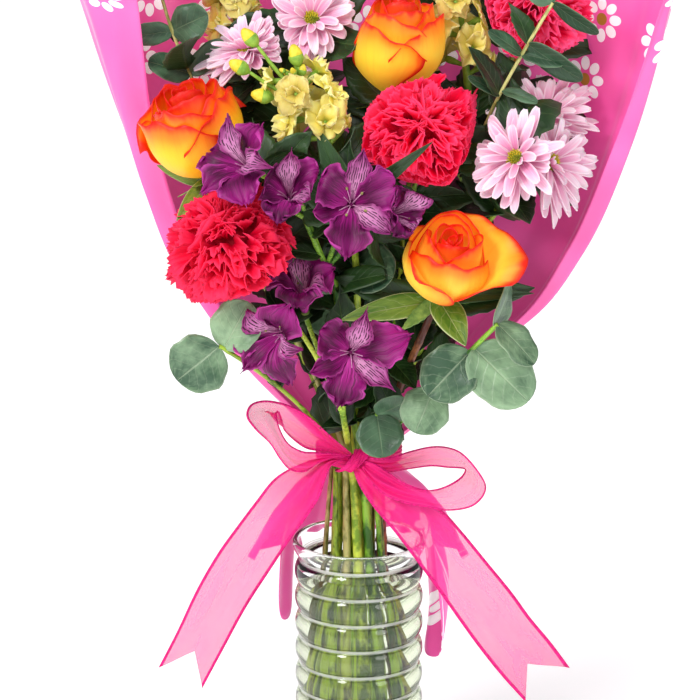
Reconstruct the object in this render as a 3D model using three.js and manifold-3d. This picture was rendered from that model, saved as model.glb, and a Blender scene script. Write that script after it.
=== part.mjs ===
// A mixed flower bouquet in a pink wrap and bow, standing in water in a ringed glass vase.
// Millimetres, +Z up. The origin is the centre of the vase's foot; the front of the bouquet faces -Y.
import * as THREE from 'three';
import { mergeVertices } from 'three/addons/utils/BufferGeometryUtils.js';
import Module from 'manifold-3d';

const wasm = await Module();
wasm.setup();
const { Manifold, Mesh } = wasm;

// Vase and water
const VASE_HEIGHT = 200;
const VASE_RIM = 46.4;
const VASE_RING = 45;
const VASE_GROOVE = 42.6;
const VASE_INSIDE = 39;
const VASE_FLOOR = 8;
const TOP_GROOVE = 186;
const RING_PITCH = 19;
const WATER_TOP = 178;
const CLEAR = 0.35;
const VASE_SIDES = 16;

// Stems
const TIE_Z = 264;
const TIE_TOP = 272;
const TIE_LOW = 256;
const STEM_FOOT_Z = VASE_FLOOR + CLEAR;
const STEM_PITCH = 6.5;
const STEM_SPREAD = 2.05;
const STEM_TWIST = 0.75;
const STEM_GAP = 1.1;
const THICK_STEM = 2.2;
const LINE_PITCH = 4;
const SETTLE_ROUNDS = 160;
const SETTLE_EASE = 0.35;
const WRAP_GAP = 3;
const BLOOM_GAP = 1.2;
const BRANCH_SHARE = 0.72;
const RING_SPACING = 60;
const BLADE = 0.7;
const CUP_GAP = 0.5;
const CUP_SUNK = 3;
const MERGE = 0.2;

// Wrap: half widths, depths and edge angles against height
const WRAP_THICK = 0.8;
const WRAP_LEFT = [
  [TIE_TOP, 26.8], [290, 44], [314, 67], [368, 101], [403, 123], [449, 143], [513, 167], [580, 188],
  [650, 205],
];
const WRAP_RIGHT = [
  [TIE_TOP, 26], [290, 48], [339, 90], [364, 118], [403, 145], [477, 178], [532, 196], [580, 208],
  [650, 222],
];
const WRAP_BACK = [[TIE_TOP, 24], [300, 38], [350, 52], [420, 66], [500, 77], [580, 86], [650, 93]];
const WRAP_FRONT = [[TIE_TOP, 24], [300, 30], [350, 34], [450, 38], [580, 42], [650, 44]];
const WRAP_EDGE_LEFT = [[TIE_TOP, 122], [300, 116], [350, 110], [450, 114], [580, 128], [650, 132]];
const WRAP_EDGE_RIGHT = [[TIE_TOP, 126], [300, 114], [350, 106], [450, 101], [580, 98], [650, 96]];
const WRAP_HEIGHTS = [292, 332, 390, 470, 560, 635];
const WRAP_COLUMNS = 20;
const WRAP_PLEATS = 5;
const SKIRT_RIM = 50.5;
const SKIRT_CORNER = 80;
const SKIRT_CORNER_Z = 194;
const SKIRT_EDGE = 114;
const SKIRT_FLARE = [[SKIRT_CORNER_Z, SKIRT_CORNER], [225, 62], [245, 44], [TIE_LOW, 24]];
const SKIRT_LEFT_Z = 132;
const SKIRT_RIGHT_Z = 116;

// Ribbon
const RIBBON_THICK = 0.8;
const BAND_RADIUS = 28.1;
const BAND_LOW = 258;
const BAND_HIGH = 270;
const KNOT = [-6, -34, 267];

// Every bloom: its middle, the way it faces, its radius and half its depth
const HEADS = {
  rose_left: { at: [-108, -50, 498], facing: [-0.31, -0.25, 0.92], radius: 37, half: 38 },
  rose_top: { at: [25, -15, 550], facing: [0.03, -0.2, 0.98], radius: 36, half: 38 },
  rose_front: { at: [65, -75, 421], facing: [0.13, -0.7, 0.71], radius: 51, half: 34 },
  carnation_centre: { at: [41.5, -60, 501], facing: [0, -0.85, 0.53], radius: 47, half: 28 },
  carnation_left: { at: [-84, -78, 434], facing: [-0.3, -0.7, 0.65], radius: 49, half: 28 },
  carnation_top: { at: [116, 18, 571], facing: [0.2, -0.6, 0.77], radius: 44, half: 28 },
  mum_right: { at: [100, -72, 489], facing: [-0.38, -0.83, 0.4], radius: 39, half: 15 },
  mum_side: { at: [135, -38, 478], facing: [0.72, -0.62, 0.3], radius: 42, half: 15 },
  mum_back: { at: [128, 4, 507], facing: [0.1, -0.5, 0.86], radius: 39, half: 15 },
  mum_left: { at: [-80, -8, 552], facing: [-0.35, -0.35, 0.87], radius: 33, half: 15 },
  mum_top: { at: [-32, -8, 572], facing: [0, -0.8, 0.6], radius: 38, half: 15 },
  mum_shade: { at: [-44, 28, 548], facing: [0.2, -0.5, 0.84], radius: 27, half: 12 },
  lily_left: { at: [-76, -97, 487], facing: [-0.55, -0.7, 0.45], radius: 30, half: 18 },
  lily_upper: { at: [-47, -92, 468], facing: [-0.1, -0.75, 0.65], radius: 28, half: 18 },
  lily_centre: { at: [-5, -102, 463], facing: [0.05, -0.95, 0.3], radius: 33, half: 18 },
  lily_right: { at: [24, -84, 452], facing: [0.6, -0.72, 0.35], radius: 22, half: 15 },
  lily_low: { at: [-54, -87, 370], facing: [-0.55, -0.82, -0.1], radius: 29, half: 17 },
  lily_bud: { at: [-38, -66, 393], facing: [-0.1, -0.5, 0.86], radius: 24, half: 17 },
  lily_front: { at: [-5, -92, 359], facing: [0.1, -0.97, 0.2], radius: 31, half: 18 },
  lily_top: { at: [60, 50, 583], facing: [0, -0.6, 0.8], radius: 24, half: 16 },
  stock_front: { at: [-31, -55, 514], facing: [-0.42, 0, 0.91], radius: 26, half: 33 },
  stock_right: { at: [70, 20, 556], facing: [-0.1, 0.05, 0.99], radius: 24, half: 42 },
  stock_back: { at: [-84, 42, 556], facing: [-0.04, 0, 1], radius: 22, half: 50 },
};

// Every stem: its thickness, the blooms it ends in, where it forks or ends, and what grows on it
const STEMS = [
  { name: 'rose_left_stem', width: 2.7, blooms: ['rose_left'] },
  { name: 'rose_top_stem', width: 2.7, blooms: ['rose_top'] },
  { name: 'rose_front_stem', width: 2.7, blooms: ['rose_front'] },
  { name: 'carnation_centre_stem', width: 2, blooms: ['carnation_centre'] },
  { name: 'carnation_left_stem', width: 2, blooms: ['carnation_left'] },
  { name: 'carnation_top_stem', width: 2, blooms: ['carnation_top'] },
  { name: 'mum_right_stem', width: 2.2, fork: [88, -14, 430],
    blooms: ['mum_right', 'mum_side', 'mum_back'] },
  { name: 'mum_left_stem', width: 2.2, fork: [-42, 8, 486], blooms: ['mum_left', 'mum_top', 'mum_shade'] },
  { name: 'lily_upper_stem', width: 2.4, fork: [-22, -58, 408],
    blooms: ['lily_left', 'lily_upper', 'lily_centre', 'lily_right'] },
  { name: 'lily_lower_stem', width: 2.4, fork: [-11, -54, 305],
    blooms: ['lily_low', 'lily_bud', 'lily_front'] },
  { name: 'lily_top_stem', width: 2.2, blooms: ['lily_top'] },
  { name: 'stock_front_stem', width: 2.6, blooms: ['stock_front'] },
  { name: 'stock_right_stem', width: 2.6, blooms: ['stock_right'] },
  { name: 'stock_back_stem', width: 2.6, blooms: ['stock_back'] },
  { name: 'eucalyptus_left', width: 1.6, route: [[-40, -52, 312], [-70, -74, 346], [-93, -86, 362]] },
  { name: 'eucalyptus_right', width: 1.8,
    route: [[26, -50, 296], [50, -66, 326], [74, -76, 358], [92, -82, 376]] },
  { name: 'eucalyptus_front', width: 1.5, route: [[3, -48, 288], [12, -56, 306]] },
  { name: 'eucalyptus_middle', width: 1.8, route: [[-8, -14, 360], [-10, -26, 410], [-12, -20, 450]] },
  { name: 'eucalyptus_tip_left', width: 1.3,
    route: [[-78, -4, 440], [-112, -2, 527], [-131, 0, 560], [-136, 4, 596]] },
  { name: 'eucalyptus_tip_right', width: 1.3,
    route: [[66, -2, 440], [90, -34, 519], [107, -33, 547], [128, -31, 583]] },
  { name: 'leafy_greens', width: 1.8, route: [[20, -32, 330], [28, -24, 380], [30, -14, 430]] },
];

// Round and narrow leaves: where each joins its stem, its far end, the way its face looks, half its width
const LEAVES = {
  eucalyptus_left: [
    { from: [-91, -85, 361], to: [-74, -88, 392], face: [-0.2, -0.95, 0.2], wide: 17 },
    { from: [-94, -86, 362], to: [-121, -90, 339], face: [0.1, -0.98, 0.1], wide: 21 },
  ],
  eucalyptus_right: [
    { from: [74, -78, 358], to: [112, -92, 326], face: [0, -0.95, 0.25], wide: 21 },
    { from: [72, -77, 357], to: [46, -86, 328], face: [-0.1, -0.97, 0.2], wide: 19 },
    { from: [50, -67, 326], to: [38, -78, 300], face: [0, -0.98, -0.1], wide: 17 },
    { from: [92, -82, 376], to: [118, -88, 352], face: [0.5, -0.7, 0.5], wide: 13 },
    { from: [90, -80, 375], to: [104, -62, 398], face: [0.7, -0.6, -0.3], wide: 12 },
  ],
  eucalyptus_front: [
    { from: [11, -57, 305], to: [16, -71, 281], face: [0.1, -0.97, -0.2], wide: 16 },
    { from: [12, -57, 307], to: [33, -66, 317], face: [0.2, -0.9, -0.3], wide: 12 },
  ],
  eucalyptus_middle: [
    { from: [-9, -24, 400], to: [-44, -40, 418], face: [-0.2, -0.9, 0.3], wide: 18 },
    { from: [-10, -26, 406], to: [16, -52, 408], face: [0.2, -0.95, 0.2], wide: 18 },
    { from: [-8, -16, 366], to: [-38, -30, 372], face: [-0.2, -0.9, 0.2], wide: 17 },
    { from: [-8, -16, 368], to: [26, -28, 366], face: [0.2, -0.9, 0.2], wide: 17 },
    { from: [-12, -21, 448], to: [-34, -10, 474], face: [-0.4, -0.8, 0.3], wide: 14 },
  ],
  eucalyptus_tip_left: [
    { from: [-113, -2, 530], to: [-140, -14, 541], face: [0.2, -0.8, 0.5], wide: 10 },
    { from: [-112, -2, 530], to: [-92, -2, 552], face: [0.5, -0.6, 0.6], wide: 8 },
    { from: [-130, 0, 559], to: [-154, -8, 556], face: [0.3, -0.9, 0.3], wide: 8 },
    { from: [-129, 0, 558], to: [-103, -14, 572], face: [0.1, -0.9, 0.4], wide: 13 },
    { from: [-136, 4, 595], to: [-150, -2, 612], face: [0.5, -0.8, 0.2], wide: 8 },
    { from: [-136, 4, 596], to: [-122, -2, 616], face: [-0.5, -0.8, 0.2], wide: 8 },
  ],
  eucalyptus_tip_right: [
    { from: [91, -34, 522], to: [74, -42, 536], face: [0, -0.7, 0.7], wide: 5 },
    { from: [92, -34, 523], to: [118, -44, 520], face: [0, -0.6, 0.8], wide: 5 },
    { from: [107, -33, 547], to: [87, -36, 566], face: [0.5, -0.6, 0.6], wide: 7 },
    { from: [108, -33, 548], to: [135, -40, 545], face: [0, -0.6, 0.8], wide: 7 },
    { from: [112, -33, 554], to: [146, -44, 532], face: [-0.3, -0.85, -0.3], wide: 9 },
    { from: [128, -31, 582], to: [118, -38, 605], face: [0.2, -0.9, 0.3], wide: 14 },
    { from: [128, -31, 582], to: [157, -36, 561], face: [-0.6, -0.7, -0.3], wide: 7 },
  ],
  leafy_greens: [
    { from: [20, -32, 336], to: [38, -54, 328], face: [0.3, -0.8, 0.5], wide: 11, narrow: true },
    { from: [20, -32, 340], to: [-8, -52, 328], face: [-0.3, -0.9, 0.2], wide: 12, narrow: true },
    { from: [28, -24, 382], to: [56, -34, 366], face: [0.3, -0.9, 0.2], wide: 13, narrow: true },
    { from: [30, -16, 420], to: [60, -8, 452], face: [0.4, -0.8, 0.3], wide: 10, narrow: true },
  ],
};

// Petal layers, from the middle outwards: how many, belly and top radius, heights, width of each in turns
const BUD_LAYERS = [
  { count: 3, belly: 20, top: 13, bellyZ: 36, topZ: 68, turn: 0.4, curl: 1 },
  { count: 3, belly: 27, top: 22, bellyZ: 34, topZ: 70, turn: 0.38, curl: 4 },
  { count: 4, belly: 33, top: 30, bellyZ: 30, topZ: 62, turn: 0.3, curl: 6 },
];
const OPEN_LAYERS = [
  { count: 3, belly: 17, top: 12, bellyZ: 30, topZ: 55, turn: 0.4, curl: 1 },
  { count: 3, belly: 26, top: 24, bellyZ: 28, topZ: 55, turn: 0.38, curl: 3 },
  { count: 5, belly: 35, top: 38, bellyZ: 24, topZ: 47, turn: 0.26, curl: 5 },
];
const MUM_LAYERS = [
  { count: 9, length: 1, rise: 0.1, width: 11 },
  { count: 6, length: 0.84, rise: 0.5, width: 10 },
];
const FAN_RINGS = [
  { count: 2, lean: 0.2 },
  { count: 4, lean: 0.68 },
  { count: 5, lean: 1.1 },
  { count: 4, lean: 1.5 },
];

const STOCK_FLORETS = 8;
const STOCK_HEART = 11;

// Buds that stand past a spike's florets
const BUD_LENGTH = 9;
const BUDS = {
  stock_front: [[-72, -55, 564], [-79, -58, 545], [-64, -60, 526], [-42, -55, 552]],
};

const COLOURS = {
  glass: ['#dfe8e4', 0.05, 0],
  water: ['#e4efe6', 0.05, 0],
  wrap: ['#ff5db5', 0.4, 0],
  ribbon: ['#ff3d9c', 0.55, 0],
  rose: ['#ff8a1e', 0.55, 0],
  carnation: ['#ee1846', 0.7, 0],
  mum: ['#f6b8dc', 0.6, 0],
  disc: ['#c8b820', 0.8, 0],
  lily: ['#8c1f97', 0.5, 0],
  stock: ['#ece29a', 0.65, 0],
  stem: ['#6f9a35', 0.5, 0],
  eucalyptus: ['#5d7f6c', 0.6, 0],
  leaf: ['#2f5a2b', 0.5, 0],
};

const bouquet = new THREE.Group();
const vec = (p) => new THREE.Vector3(p[0], p[1], p[2]);

// The same draw each time for the same seed.
function seeded(seed) {
  let state = seed;
  return () => {
    state = (state * 1664525 + 1013904223) % 4294967296;
    return state / 4294967296;
  };
}

// The value at x on a line through pairs [x, value].
function along(pairs, x) {
  let i = 1;
  while (i < pairs.length - 1 && pairs[i][0] < x) i += 1;
  const [x0, y0] = pairs[i - 1];
  const [x1, y1] = pairs[i];
  const t = THREE.MathUtils.clamp((x - x0) / (x1 - x0), 0, 1);
  return y0 + (y1 - y0) * t;
}

// A solid from corner points and triangles, turned the right way out.
function solid(corners, triangles) {
  const vertProperties = new Float32Array(corners.flat());
  const build = (list) => {
    const triVerts = new Uint32Array(list.flat());
    return new Manifold(new Mesh({ numProp: 3, vertProperties, triVerts }));
  };
  const first = build(triangles);
  return first.volume() > 0 ? first : build(triangles.map(([a, b, c]) => [a, c, b]));
}

// A solid from a three.js geometry, each corner moved by the function given.
function shaped(geometry, move = (p) => p) {
  geometry.deleteAttribute('normal');
  geometry.deleteAttribute('uv');
  const merged = mergeVertices(geometry, 1e-4);
  const place = merged.attributes.position;
  const corners = [];
  for (let i = 0; i < place.count; i += 1) {
    const p = move(new THREE.Vector3(place.getX(i), place.getY(i), place.getZ(i)));
    corners.push([p.x, p.y, p.z]);
  }
  const triangles = [];
  for (let i = 0; i < merged.index.count; i += 3) {
    const [a, b, c] = [0, 1, 2].map((k) => merged.index.getX(i + k));
    if (a !== b && b !== c && a !== c) triangles.push([a, b, c]);
  }
  return solid(corners, triangles);
}

// Several solids joined in one, without loose scraps or sealed hollows.
function joined(parts) {
  let whole = Manifold.union(parts).asOriginal();
  for (let pass = 0; pass < 2; pass += 1) {
    const bodies = whole.simplify(MERGE).decompose();
    bodies.sort((a, b) => b.volume() - a.volume());
    whole = bodies[0];
  }
  return whole;
}

function add(name, body, colour) {
  const mesh = body.getMesh();
  const geometry = new THREE.BufferGeometry();
  geometry.setAttribute('position', new THREE.BufferAttribute(new Float32Array(mesh.vertProperties), 3));
  geometry.setIndex(new THREE.BufferAttribute(new Uint32Array(mesh.triVerts), 1));
  const [tint, roughness, metalness] = COLOURS[colour];
  const finish = new THREE.MeshStandardMaterial({ color: tint, roughness, metalness });
  const node = new THREE.Mesh(geometry, finish);
  node.name = name;
  bouquet.add(node);
}

// A thin blade round a middle surface point(u, v), u from -1 to 1 across and v from 0 to 1 along,
// split into the same triangles on both faces.
function blade(point, across, length, thick = BLADE) {
  const rows = length + 1;
  const columns = across + 1;
  const middle = [];
  for (let j = 0; j < rows; j += 1) {
    for (let i = 0; i < columns; i += 1) middle.push(point(-1 + (2 * i) / across, j / length));
  }
  const at = (i, j) => middle[j * columns + i];
  const corners = [];
  const faces = [1, -1];
  for (const side of faces) {
    for (let j = 0; j < rows; j += 1) {
      for (let i = 0; i < columns; i += 1) {
        const du = at(Math.min(i + 1, across), j).clone().sub(at(Math.max(i - 1, 0), j));
        const dv = at(i, Math.min(j + 1, length)).clone().sub(at(i, Math.max(j - 1, 0)));
        const normal = du.cross(dv).normalize();
        corners.push(at(i, j).clone().addScaledVector(normal, (side * thick) / 2).toArray());
      }
    }
  }
  const back = rows * columns;
  const triangles = [];
  for (let j = 0; j < length; j += 1) {
    for (let i = 0; i < across; i += 1) {
      const a = j * columns + i;
      const b = a + 1;
      const c = a + columns;
      const d = c + 1;
      triangles.push([a, b, d], [a, d, c]);
      triangles.push([back + a, back + d, back + b], [back + a, back + c, back + d]);
    }
  }
  const rim = [];
  for (let i = 0; i < across; i += 1) rim.push(i);
  for (let j = 0; j < length; j += 1) rim.push(j * columns + across);
  for (let i = across; i > 0; i -= 1) rim.push(length * columns + i);
  for (let j = length; j > 0; j -= 1) rim.push(j * columns);
  rim.forEach((a, k) => {
    const b = rim[(k + 1) % rim.length];
    triangles.push([a, back + b, b], [a, back + a, back + b]);
  });
  return solid(corners, triangles);
}

// A slim three-sided petal, sepal or bud scale through the points given, each with its half width.
function sliver(points, widths, up, deep) {
  const corners = [];
  const down = up.clone().normalize().multiplyScalar(-deep);
  const widest = Math.max(...widths);
  points.forEach((p, k) => {
    const next = points[Math.min(k + 1, points.length - 1)];
    const last = points[Math.max(k - 1, 0)];
    const side = next.clone().sub(last).cross(up).normalize().multiplyScalar(widths[k]);
    const keel = p.clone().addScaledVector(down, 0.4 + (0.6 * widths[k]) / widest);
    corners.push(p.clone().add(side).toArray(), p.clone().sub(side).toArray(), keel.toArray());
  });
  const triangles = [[0, 2, 1]];
  for (let k = 0; k < points.length - 1; k += 1) {
    for (let s = 0; s < 3; s += 1) {
      const a = 3 * k + s;
      const b = 3 * k + ((s + 1) % 3);
      triangles.push([a, b, b + 3], [a, b + 3, a + 3]);
    }
  }
  const end = corners.length - 3;
  triangles.push([end, end + 1, end + 2]);
  return solid(corners, triangles);
}

// A path whose steps are exactly the points given, so that a swept tube has its rings there.
class Route extends THREE.Curve {
  constructor(points) {
    super();
    this.points = points;
  }

  getPoint(t, target = new THREE.Vector3()) {
    const last = this.points.length - 1;
    const i = Math.min(Math.floor(t * last + 1e-9), last - 1);
    return target.copy(this.points[i]).lerp(this.points[i + 1], t * last - i);
  }

  getUtoTmapping(u) {
    return u;
  }
}

function tube(points, width, grow = 0) {
  const sides = width < THICK_STEM ? 4 : 5;
  const radius = width + grow;
  const ring = new THREE.Shape();
  for (let k = 0; k < sides; k += 1) {
    const angle = (2 * Math.PI * k) / sides;
    if (k === 0) ring.moveTo(radius, 0);
    else ring.lineTo(radius * Math.cos(angle), radius * Math.sin(angle));
  }
  ring.closePath();
  const settings = { steps: points.length - 1, extrudePath: new Route(points), bevelEnabled: false };
  return shaped(new THREE.ExtrudeGeometry(ring, settings));
}

// Blooms press against each other: between two that would meet stands a flat wall, and each keeps
// to its own side of it.
for (const head of Object.values(HEADS)) {
  head.middle = vec(head.at);
  head.axis = vec(head.facing).normalize();
  head.turn = new THREE.Quaternion().setFromUnitVectors(new THREE.Vector3(0, 0, 1), head.axis);
  head.base = head.middle.clone().addScaledVector(head.axis, -head.half);
  head.reach = (n) => {
    const c = n.dot(head.axis);
    return Math.sqrt(head.radius ** 2 * (1 - c * c) + head.half ** 2 * c * c);
  };
}
for (const head of Object.values(HEADS)) {
  head.walls = [];
  for (const other of Object.values(HEADS)) {
    const way = other.middle.clone().sub(head.middle);
    const apart = way.length();
    way.normalize();
    const mine = head.reach(way);
    const theirs = other.reach(way);
    if (other !== head && mine + theirs > apart - 2) {
      head.walls.push({ way, limit: (apart * mine) / (mine + theirs) - BLADE / 2 - 0.25 });
    }
  }
}

// A point given from the bloom's own base, its axis up, placed and held back from its walls.
function placed(head, x, y, z) {
  const p = new THREE.Vector3(x, y, z).applyQuaternion(head.turn).add(head.base);
  const arm = p.sub(head.middle);
  for (const { way, limit } of head.walls) {
    const out = arm.dot(way);
    const soft = 0.65 * limit;
    if (out > soft) {
      const room = limit - soft;
      arm.multiplyScalar((soft + room * (1 - Math.exp(-(out - soft) / room))) / out);
    }
  }
  return arm.add(head.middle);
}

// A stem ends inside the green cup under its bloom, or just under a spike, which has none.
for (const [name, head] of Object.entries(HEADS)) {
  head.foot = placed(head, 0, 0, name.startsWith('stock') ? -CLEAR : -CUP_SUNK);
}

// Moves a point out of every bloom but its own.
function outside(p, own, gap) {
  for (const [name, head] of Object.entries(HEADS)) {
    if (own.includes(name)) continue;
    const arm = p.clone().sub(head.middle);
    const rise = arm.dot(head.axis);
    const flat = arm.clone().addScaledVector(head.axis, -rise);
    const level = Math.sqrt((flat.length() / (head.radius + gap)) ** 2 + (rise / (head.half + gap)) ** 2);
    if (level < 1) p.copy(head.middle).addScaledVector(arm, 1 / Math.max(level, 0.05));
  }
  return p;
}

// The wrap's surface at an angle from the back, in degrees, and a height above the tie.
function wrapPoint(degrees, z, grow = 0) {
  const angle = THREE.MathUtils.degToRad(degrees);
  const wide = along(degrees < 0 ? WRAP_LEFT : WRAP_RIGHT, z) + grow;
  const deep = along(Math.cos(angle) > 0 ? WRAP_BACK : WRAP_FRONT, z) + grow;
  return new THREE.Vector3(wide * Math.sin(angle), deep * Math.cos(angle), z);
}

// Keeps a point inside the wrap where the wrap stands round it.
function insideWrap(p, gap) {
  if (p.z < TIE_Z) return p;
  const wide = along(p.x < 0 ? WRAP_LEFT : WRAP_RIGHT, p.z) - gap;
  const deep = along(p.y > 0 ? WRAP_BACK : WRAP_FRONT, p.z) - gap;
  const level = Math.hypot(p.x / wide, p.y / deep);
  const degrees = Math.abs(THREE.MathUtils.radToDeg(Math.atan2(p.x / wide, p.y / deep)));
  const edge = along(p.x < 0 ? WRAP_EDGE_LEFT : WRAP_EDGE_RIGHT, p.z);
  if (level > 1 && degrees < edge + 6) {
    p.x /= level;
    p.y /= level;
  }
  return p;
}

// Places for the stems at the tie: the middle of a close six-sided packing.
function tiePlaces(count) {
  const places = [];
  for (let i = -4; i <= 4; i += 1) {
    for (let j = -4; j <= 4; j += 1) {
      places.push(new THREE.Vector2(STEM_PITCH * (i + j / 2), (STEM_PITCH * j * Math.sqrt(3)) / 2));
    }
  }
  places.sort((a, b) => a.length() - b.length() || a.x - b.x || a.y - b.y);
  return places.slice(0, count);
}

// Each stem takes the place on the side that it leans to: two stems change places where that suits
// both better.
function choosePlaces(stems) {
  const places = tiePlaces(stems.length);
  const slope = (goal) => 60 / (goal.z - TIE_Z + 30);
  const leans = stems.map(({ goal }) => new THREE.Vector2(goal.x, goal.y).multiplyScalar(slope(goal)));
  const cost = (i, k) => leans[i].distanceToSquared(places[k]);
  const order = stems.map((_, i) => i);
  let better = true;
  while (better) {
    better = false;
    for (let i = 0; i < order.length; i += 1) {
      for (let j = i + 1; j < order.length; j += 1) {
        const now = cost(i, order[i]) + cost(j, order[j]);
        const then = cost(i, order[j]) + cost(j, order[i]);
        if (then < now - 1e-9) {
          [order[i], order[j]] = [order[j], order[i]];
          better = true;
        }
      }
    }
  }
  stems.forEach((stem, i) => {
    stem.place = places[order[i]];
  });
}

// Below the tie the stems spread and turn together, so none can meet.
function belowTie(place, z) {
  const t = (TIE_Z - z) / (TIE_Z - STEM_FOOT_Z);
  const x = 1 - t + t * STEM_SPREAD * Math.cos(STEM_TWIST);
  const y = t * STEM_SPREAD * Math.sin(STEM_TWIST);
  return new THREE.Vector3(place.x * x - place.y * y, place.x * y + place.y * x, z);
}

// A smooth line of points about 4 mm apart, leaving and arriving in the directions given.
function smoothLine(points) {
  const curve = new THREE.CatmullRomCurve3(points, false, 'centripetal');
  return curve.getSpacedPoints(Math.max(4, Math.round(curve.getLength() / LINE_PITCH)));
}

function bloomLine(start, lead, head) {
  const away = start.distanceTo(head.foot);
  const end = head.foot.clone();
  const bend = new THREE.CubicBezierCurve3(
    start,
    start.clone().addScaledVector(lead, away * 0.35),
    end.clone().addScaledVector(head.axis, -away * 0.3),
    end,
  );
  return bend.getSpacedPoints(Math.max(4, Math.round(bend.getLength() / LINE_PITCH)));
}

// Stems push each other, the blooms and the wrap aside until they run clear.
function settle(lines) {
  const own = (line) => line.stem.blooms ?? [];
  for (let round = 0; round < SETTLE_ROUNDS; round += 1) {
    for (let a = 0; a < lines.length; a += 1) {
      for (let b = a + 1; b < lines.length; b += 1) {
        if (lines[a].stem === lines[b].stem) continue;
        const need = lines[a].width + lines[b].width + STEM_GAP;
        pushApart(lines[a], lines[b], need);
      }
    }
    for (const line of lines) {
      const last = line.points.length - 1;
      for (let k = 1; k < last - 1; k += 1) {
        const ease = line.points[k - 1].clone().add(line.points[k + 1]).multiplyScalar(0.5);
        line.points[k].lerp(ease, SETTLE_EASE);
        if (k > 2) insideWrap(line.points[k], line.width + WRAP_GAP);
        if (k < last - 2) outside(line.points[k], own(line), line.width + BLOOM_GAP);
      }
    }
  }
}

function pushApart(one, two, need) {
  for (let i = 1; i < one.points.length; i += 1) {
    const p = one.points[i];
    for (let j = 1; j < two.points.length; j += 1) {
      const q = two.points[j];
      if (Math.abs(p.z - q.z) > need || Math.abs(p.x - q.x) > need) continue;
      const gap = p.clone().sub(q);
      const apart = gap.length();
      if (apart >= need) continue;
      gap.multiplyScalar((0.5 * (need - apart)) / Math.max(apart, 0.01));
      if (i < one.points.length - 1) p.add(gap);
      if (j < two.points.length - 1) q.sub(gap);
    }
  }
}

// Routes of all stems and their branches
function routeStems() {
  for (const stem of STEMS) {
    if (stem.fork) stem.goal = vec(stem.fork);
    else if (stem.route) stem.goal = vec(stem.route.at(-1));
    else stem.goal = HEADS[stem.blooms[0]].foot;
  }
  choosePlaces(STEMS);
  const lines = [];
  for (const stem of STEMS) {
    const tie = new THREE.Vector3(stem.place.x, stem.place.y, TIE_Z);
    const lead = stem.goal.clone().sub(tie).normalize().add(new THREE.Vector3(0, 0, 0.8)).normalize();
    const rise = tie.clone().addScaledVector(lead, 12);
    stem.lines = [];
    const keep = (points, width) => {
      const line = { stem, points, width };
      stem.lines.push(line);
      lines.push(line);
    };
    if (stem.route) keep(smoothLine([tie, rise, ...stem.route.map(vec)]), stem.width);
    else if (!stem.fork) keep(bloomLine(tie, lead, HEADS[stem.blooms[0]]), stem.width);
    else {
      const fork = vec(stem.fork);
      const trunk = smoothLine([tie, rise, tie.clone().lerp(fork, 0.5).addScaledVector(lead, 6), fork]);
      keep(trunk, stem.width);
      const on = fork.clone().sub(trunk.at(-3)).normalize();
      for (const name of stem.blooms) keep(bloomLine(fork, on, HEADS[name]), stem.width * BRANCH_SHARE);
    }
  }
  settle(lines);
}

// The rings of a line's tube: every few points, closer where it is short.
function stations(points) {
  const count = Math.max(2, Math.round((points.length * LINE_PITCH) / RING_SPACING));
  const picked = [];
  for (let k = 0; k <= count; k += 1) picked.push(points[Math.round((k * (points.length - 1)) / count)]);
  return picked;
}

function stemTubes(stem, grow = 0) {
  return stem.lines.map((line, k) => {
    const picked = stations(line.points).map((p) => p.clone());
    if (k === 0) picked.unshift(belowTie(stem.place, STEM_FOOT_Z));
    return tube(picked, line.width, grow);
  });
}

// A leaf: broad and round, or narrow with a pointed end and a folded midrib.
function leafBlade({ to, face, wide, narrow }, start) {
  const way = vec(to).sub(start);
  const up = vec(face).normalize();
  const side = way.clone().cross(up).normalize();
  const lift = side.clone().cross(way).normalize();
  const outline = (v) => {
    if (narrow) return Math.max(0.12, Math.sin(Math.PI * Math.min(1, v * 0.93 + 0.07)) ** 0.8);
    const t = 2 * v - 1;
    return Math.max(t < 0 ? 0.12 : 0.45, Math.sqrt(Math.max(0, 1 - t * t)));
  };
  const fold = narrow ? 0.16 : 0.1;
  return blade((u, v) => {
    const p = start.clone().addScaledVector(way, v);
    p.addScaledVector(side, u * wide * outline(v));
    p.addScaledVector(lift, Math.abs(u) * wide * fold * outline(v) - way.length() * 0.1 * v * v);
    return v > 0 ? insideWrap(outside(p, [], 1.6), 2.5) : p;
  }, 2, wide > 15 ? 3 : 2);
}

// Rose: petals in layers round a closed heart, each a part of a turn, overlapping like tiles in a ring
function rosePetals(name, layers) {
  const head = HEADS[name];
  const draw = seeded(name.length * 131 + layers[0].topZ);
  const profile = [[0, 0.4], [6, 0.4], [15.5, 12], [14, 36], [0, 47]];
  const heart = new THREE.LatheGeometry(profile.map(([r, z]) => new THREE.Vector2(r, z)), 6);
  const parts = [shaped(heart.rotateX(Math.PI / 2), (p) => placed(head, p.x, p.y, p.z))];
  layers.forEach((layer, row) => {
    for (let k = 0; k < layer.count; k += 1) {
      const start = (k + 0.37 * row) / layer.count + 0.03 * (draw() - 0.5);
      const tall = layer.topZ - 4 * draw();
      parts.push(blade((u, v) => {
        const a = (1 - v) ** 2;
        const b = 2 * v * (1 - v);
        const c = v * v;
        const narrow = 0.4 + 0.6 * Math.sin((Math.PI / 2) * Math.min(1, 1.5 * v));
        const curl = layer.curl * Math.max(0, (v - 0.6) / 0.4) ** 2;
        const r = a * 6 + b * (2 * layer.belly - (6 + layer.top) / 2) + c * layer.top + 2.2 * u + curl;
        const z = a * 5 + b * (2 * layer.bellyZ - (5 + tall) / 2) + c * tall - 9 * c * u * u - curl * 0.6;
        const angle = 2 * Math.PI * (start + (layer.turn / 2) * u * narrow);
        return placed(head, r * Math.cos(angle), r * Math.sin(angle), z);
      }, 3, 2));
    }
  });
  return joined(parts);
}

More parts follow.
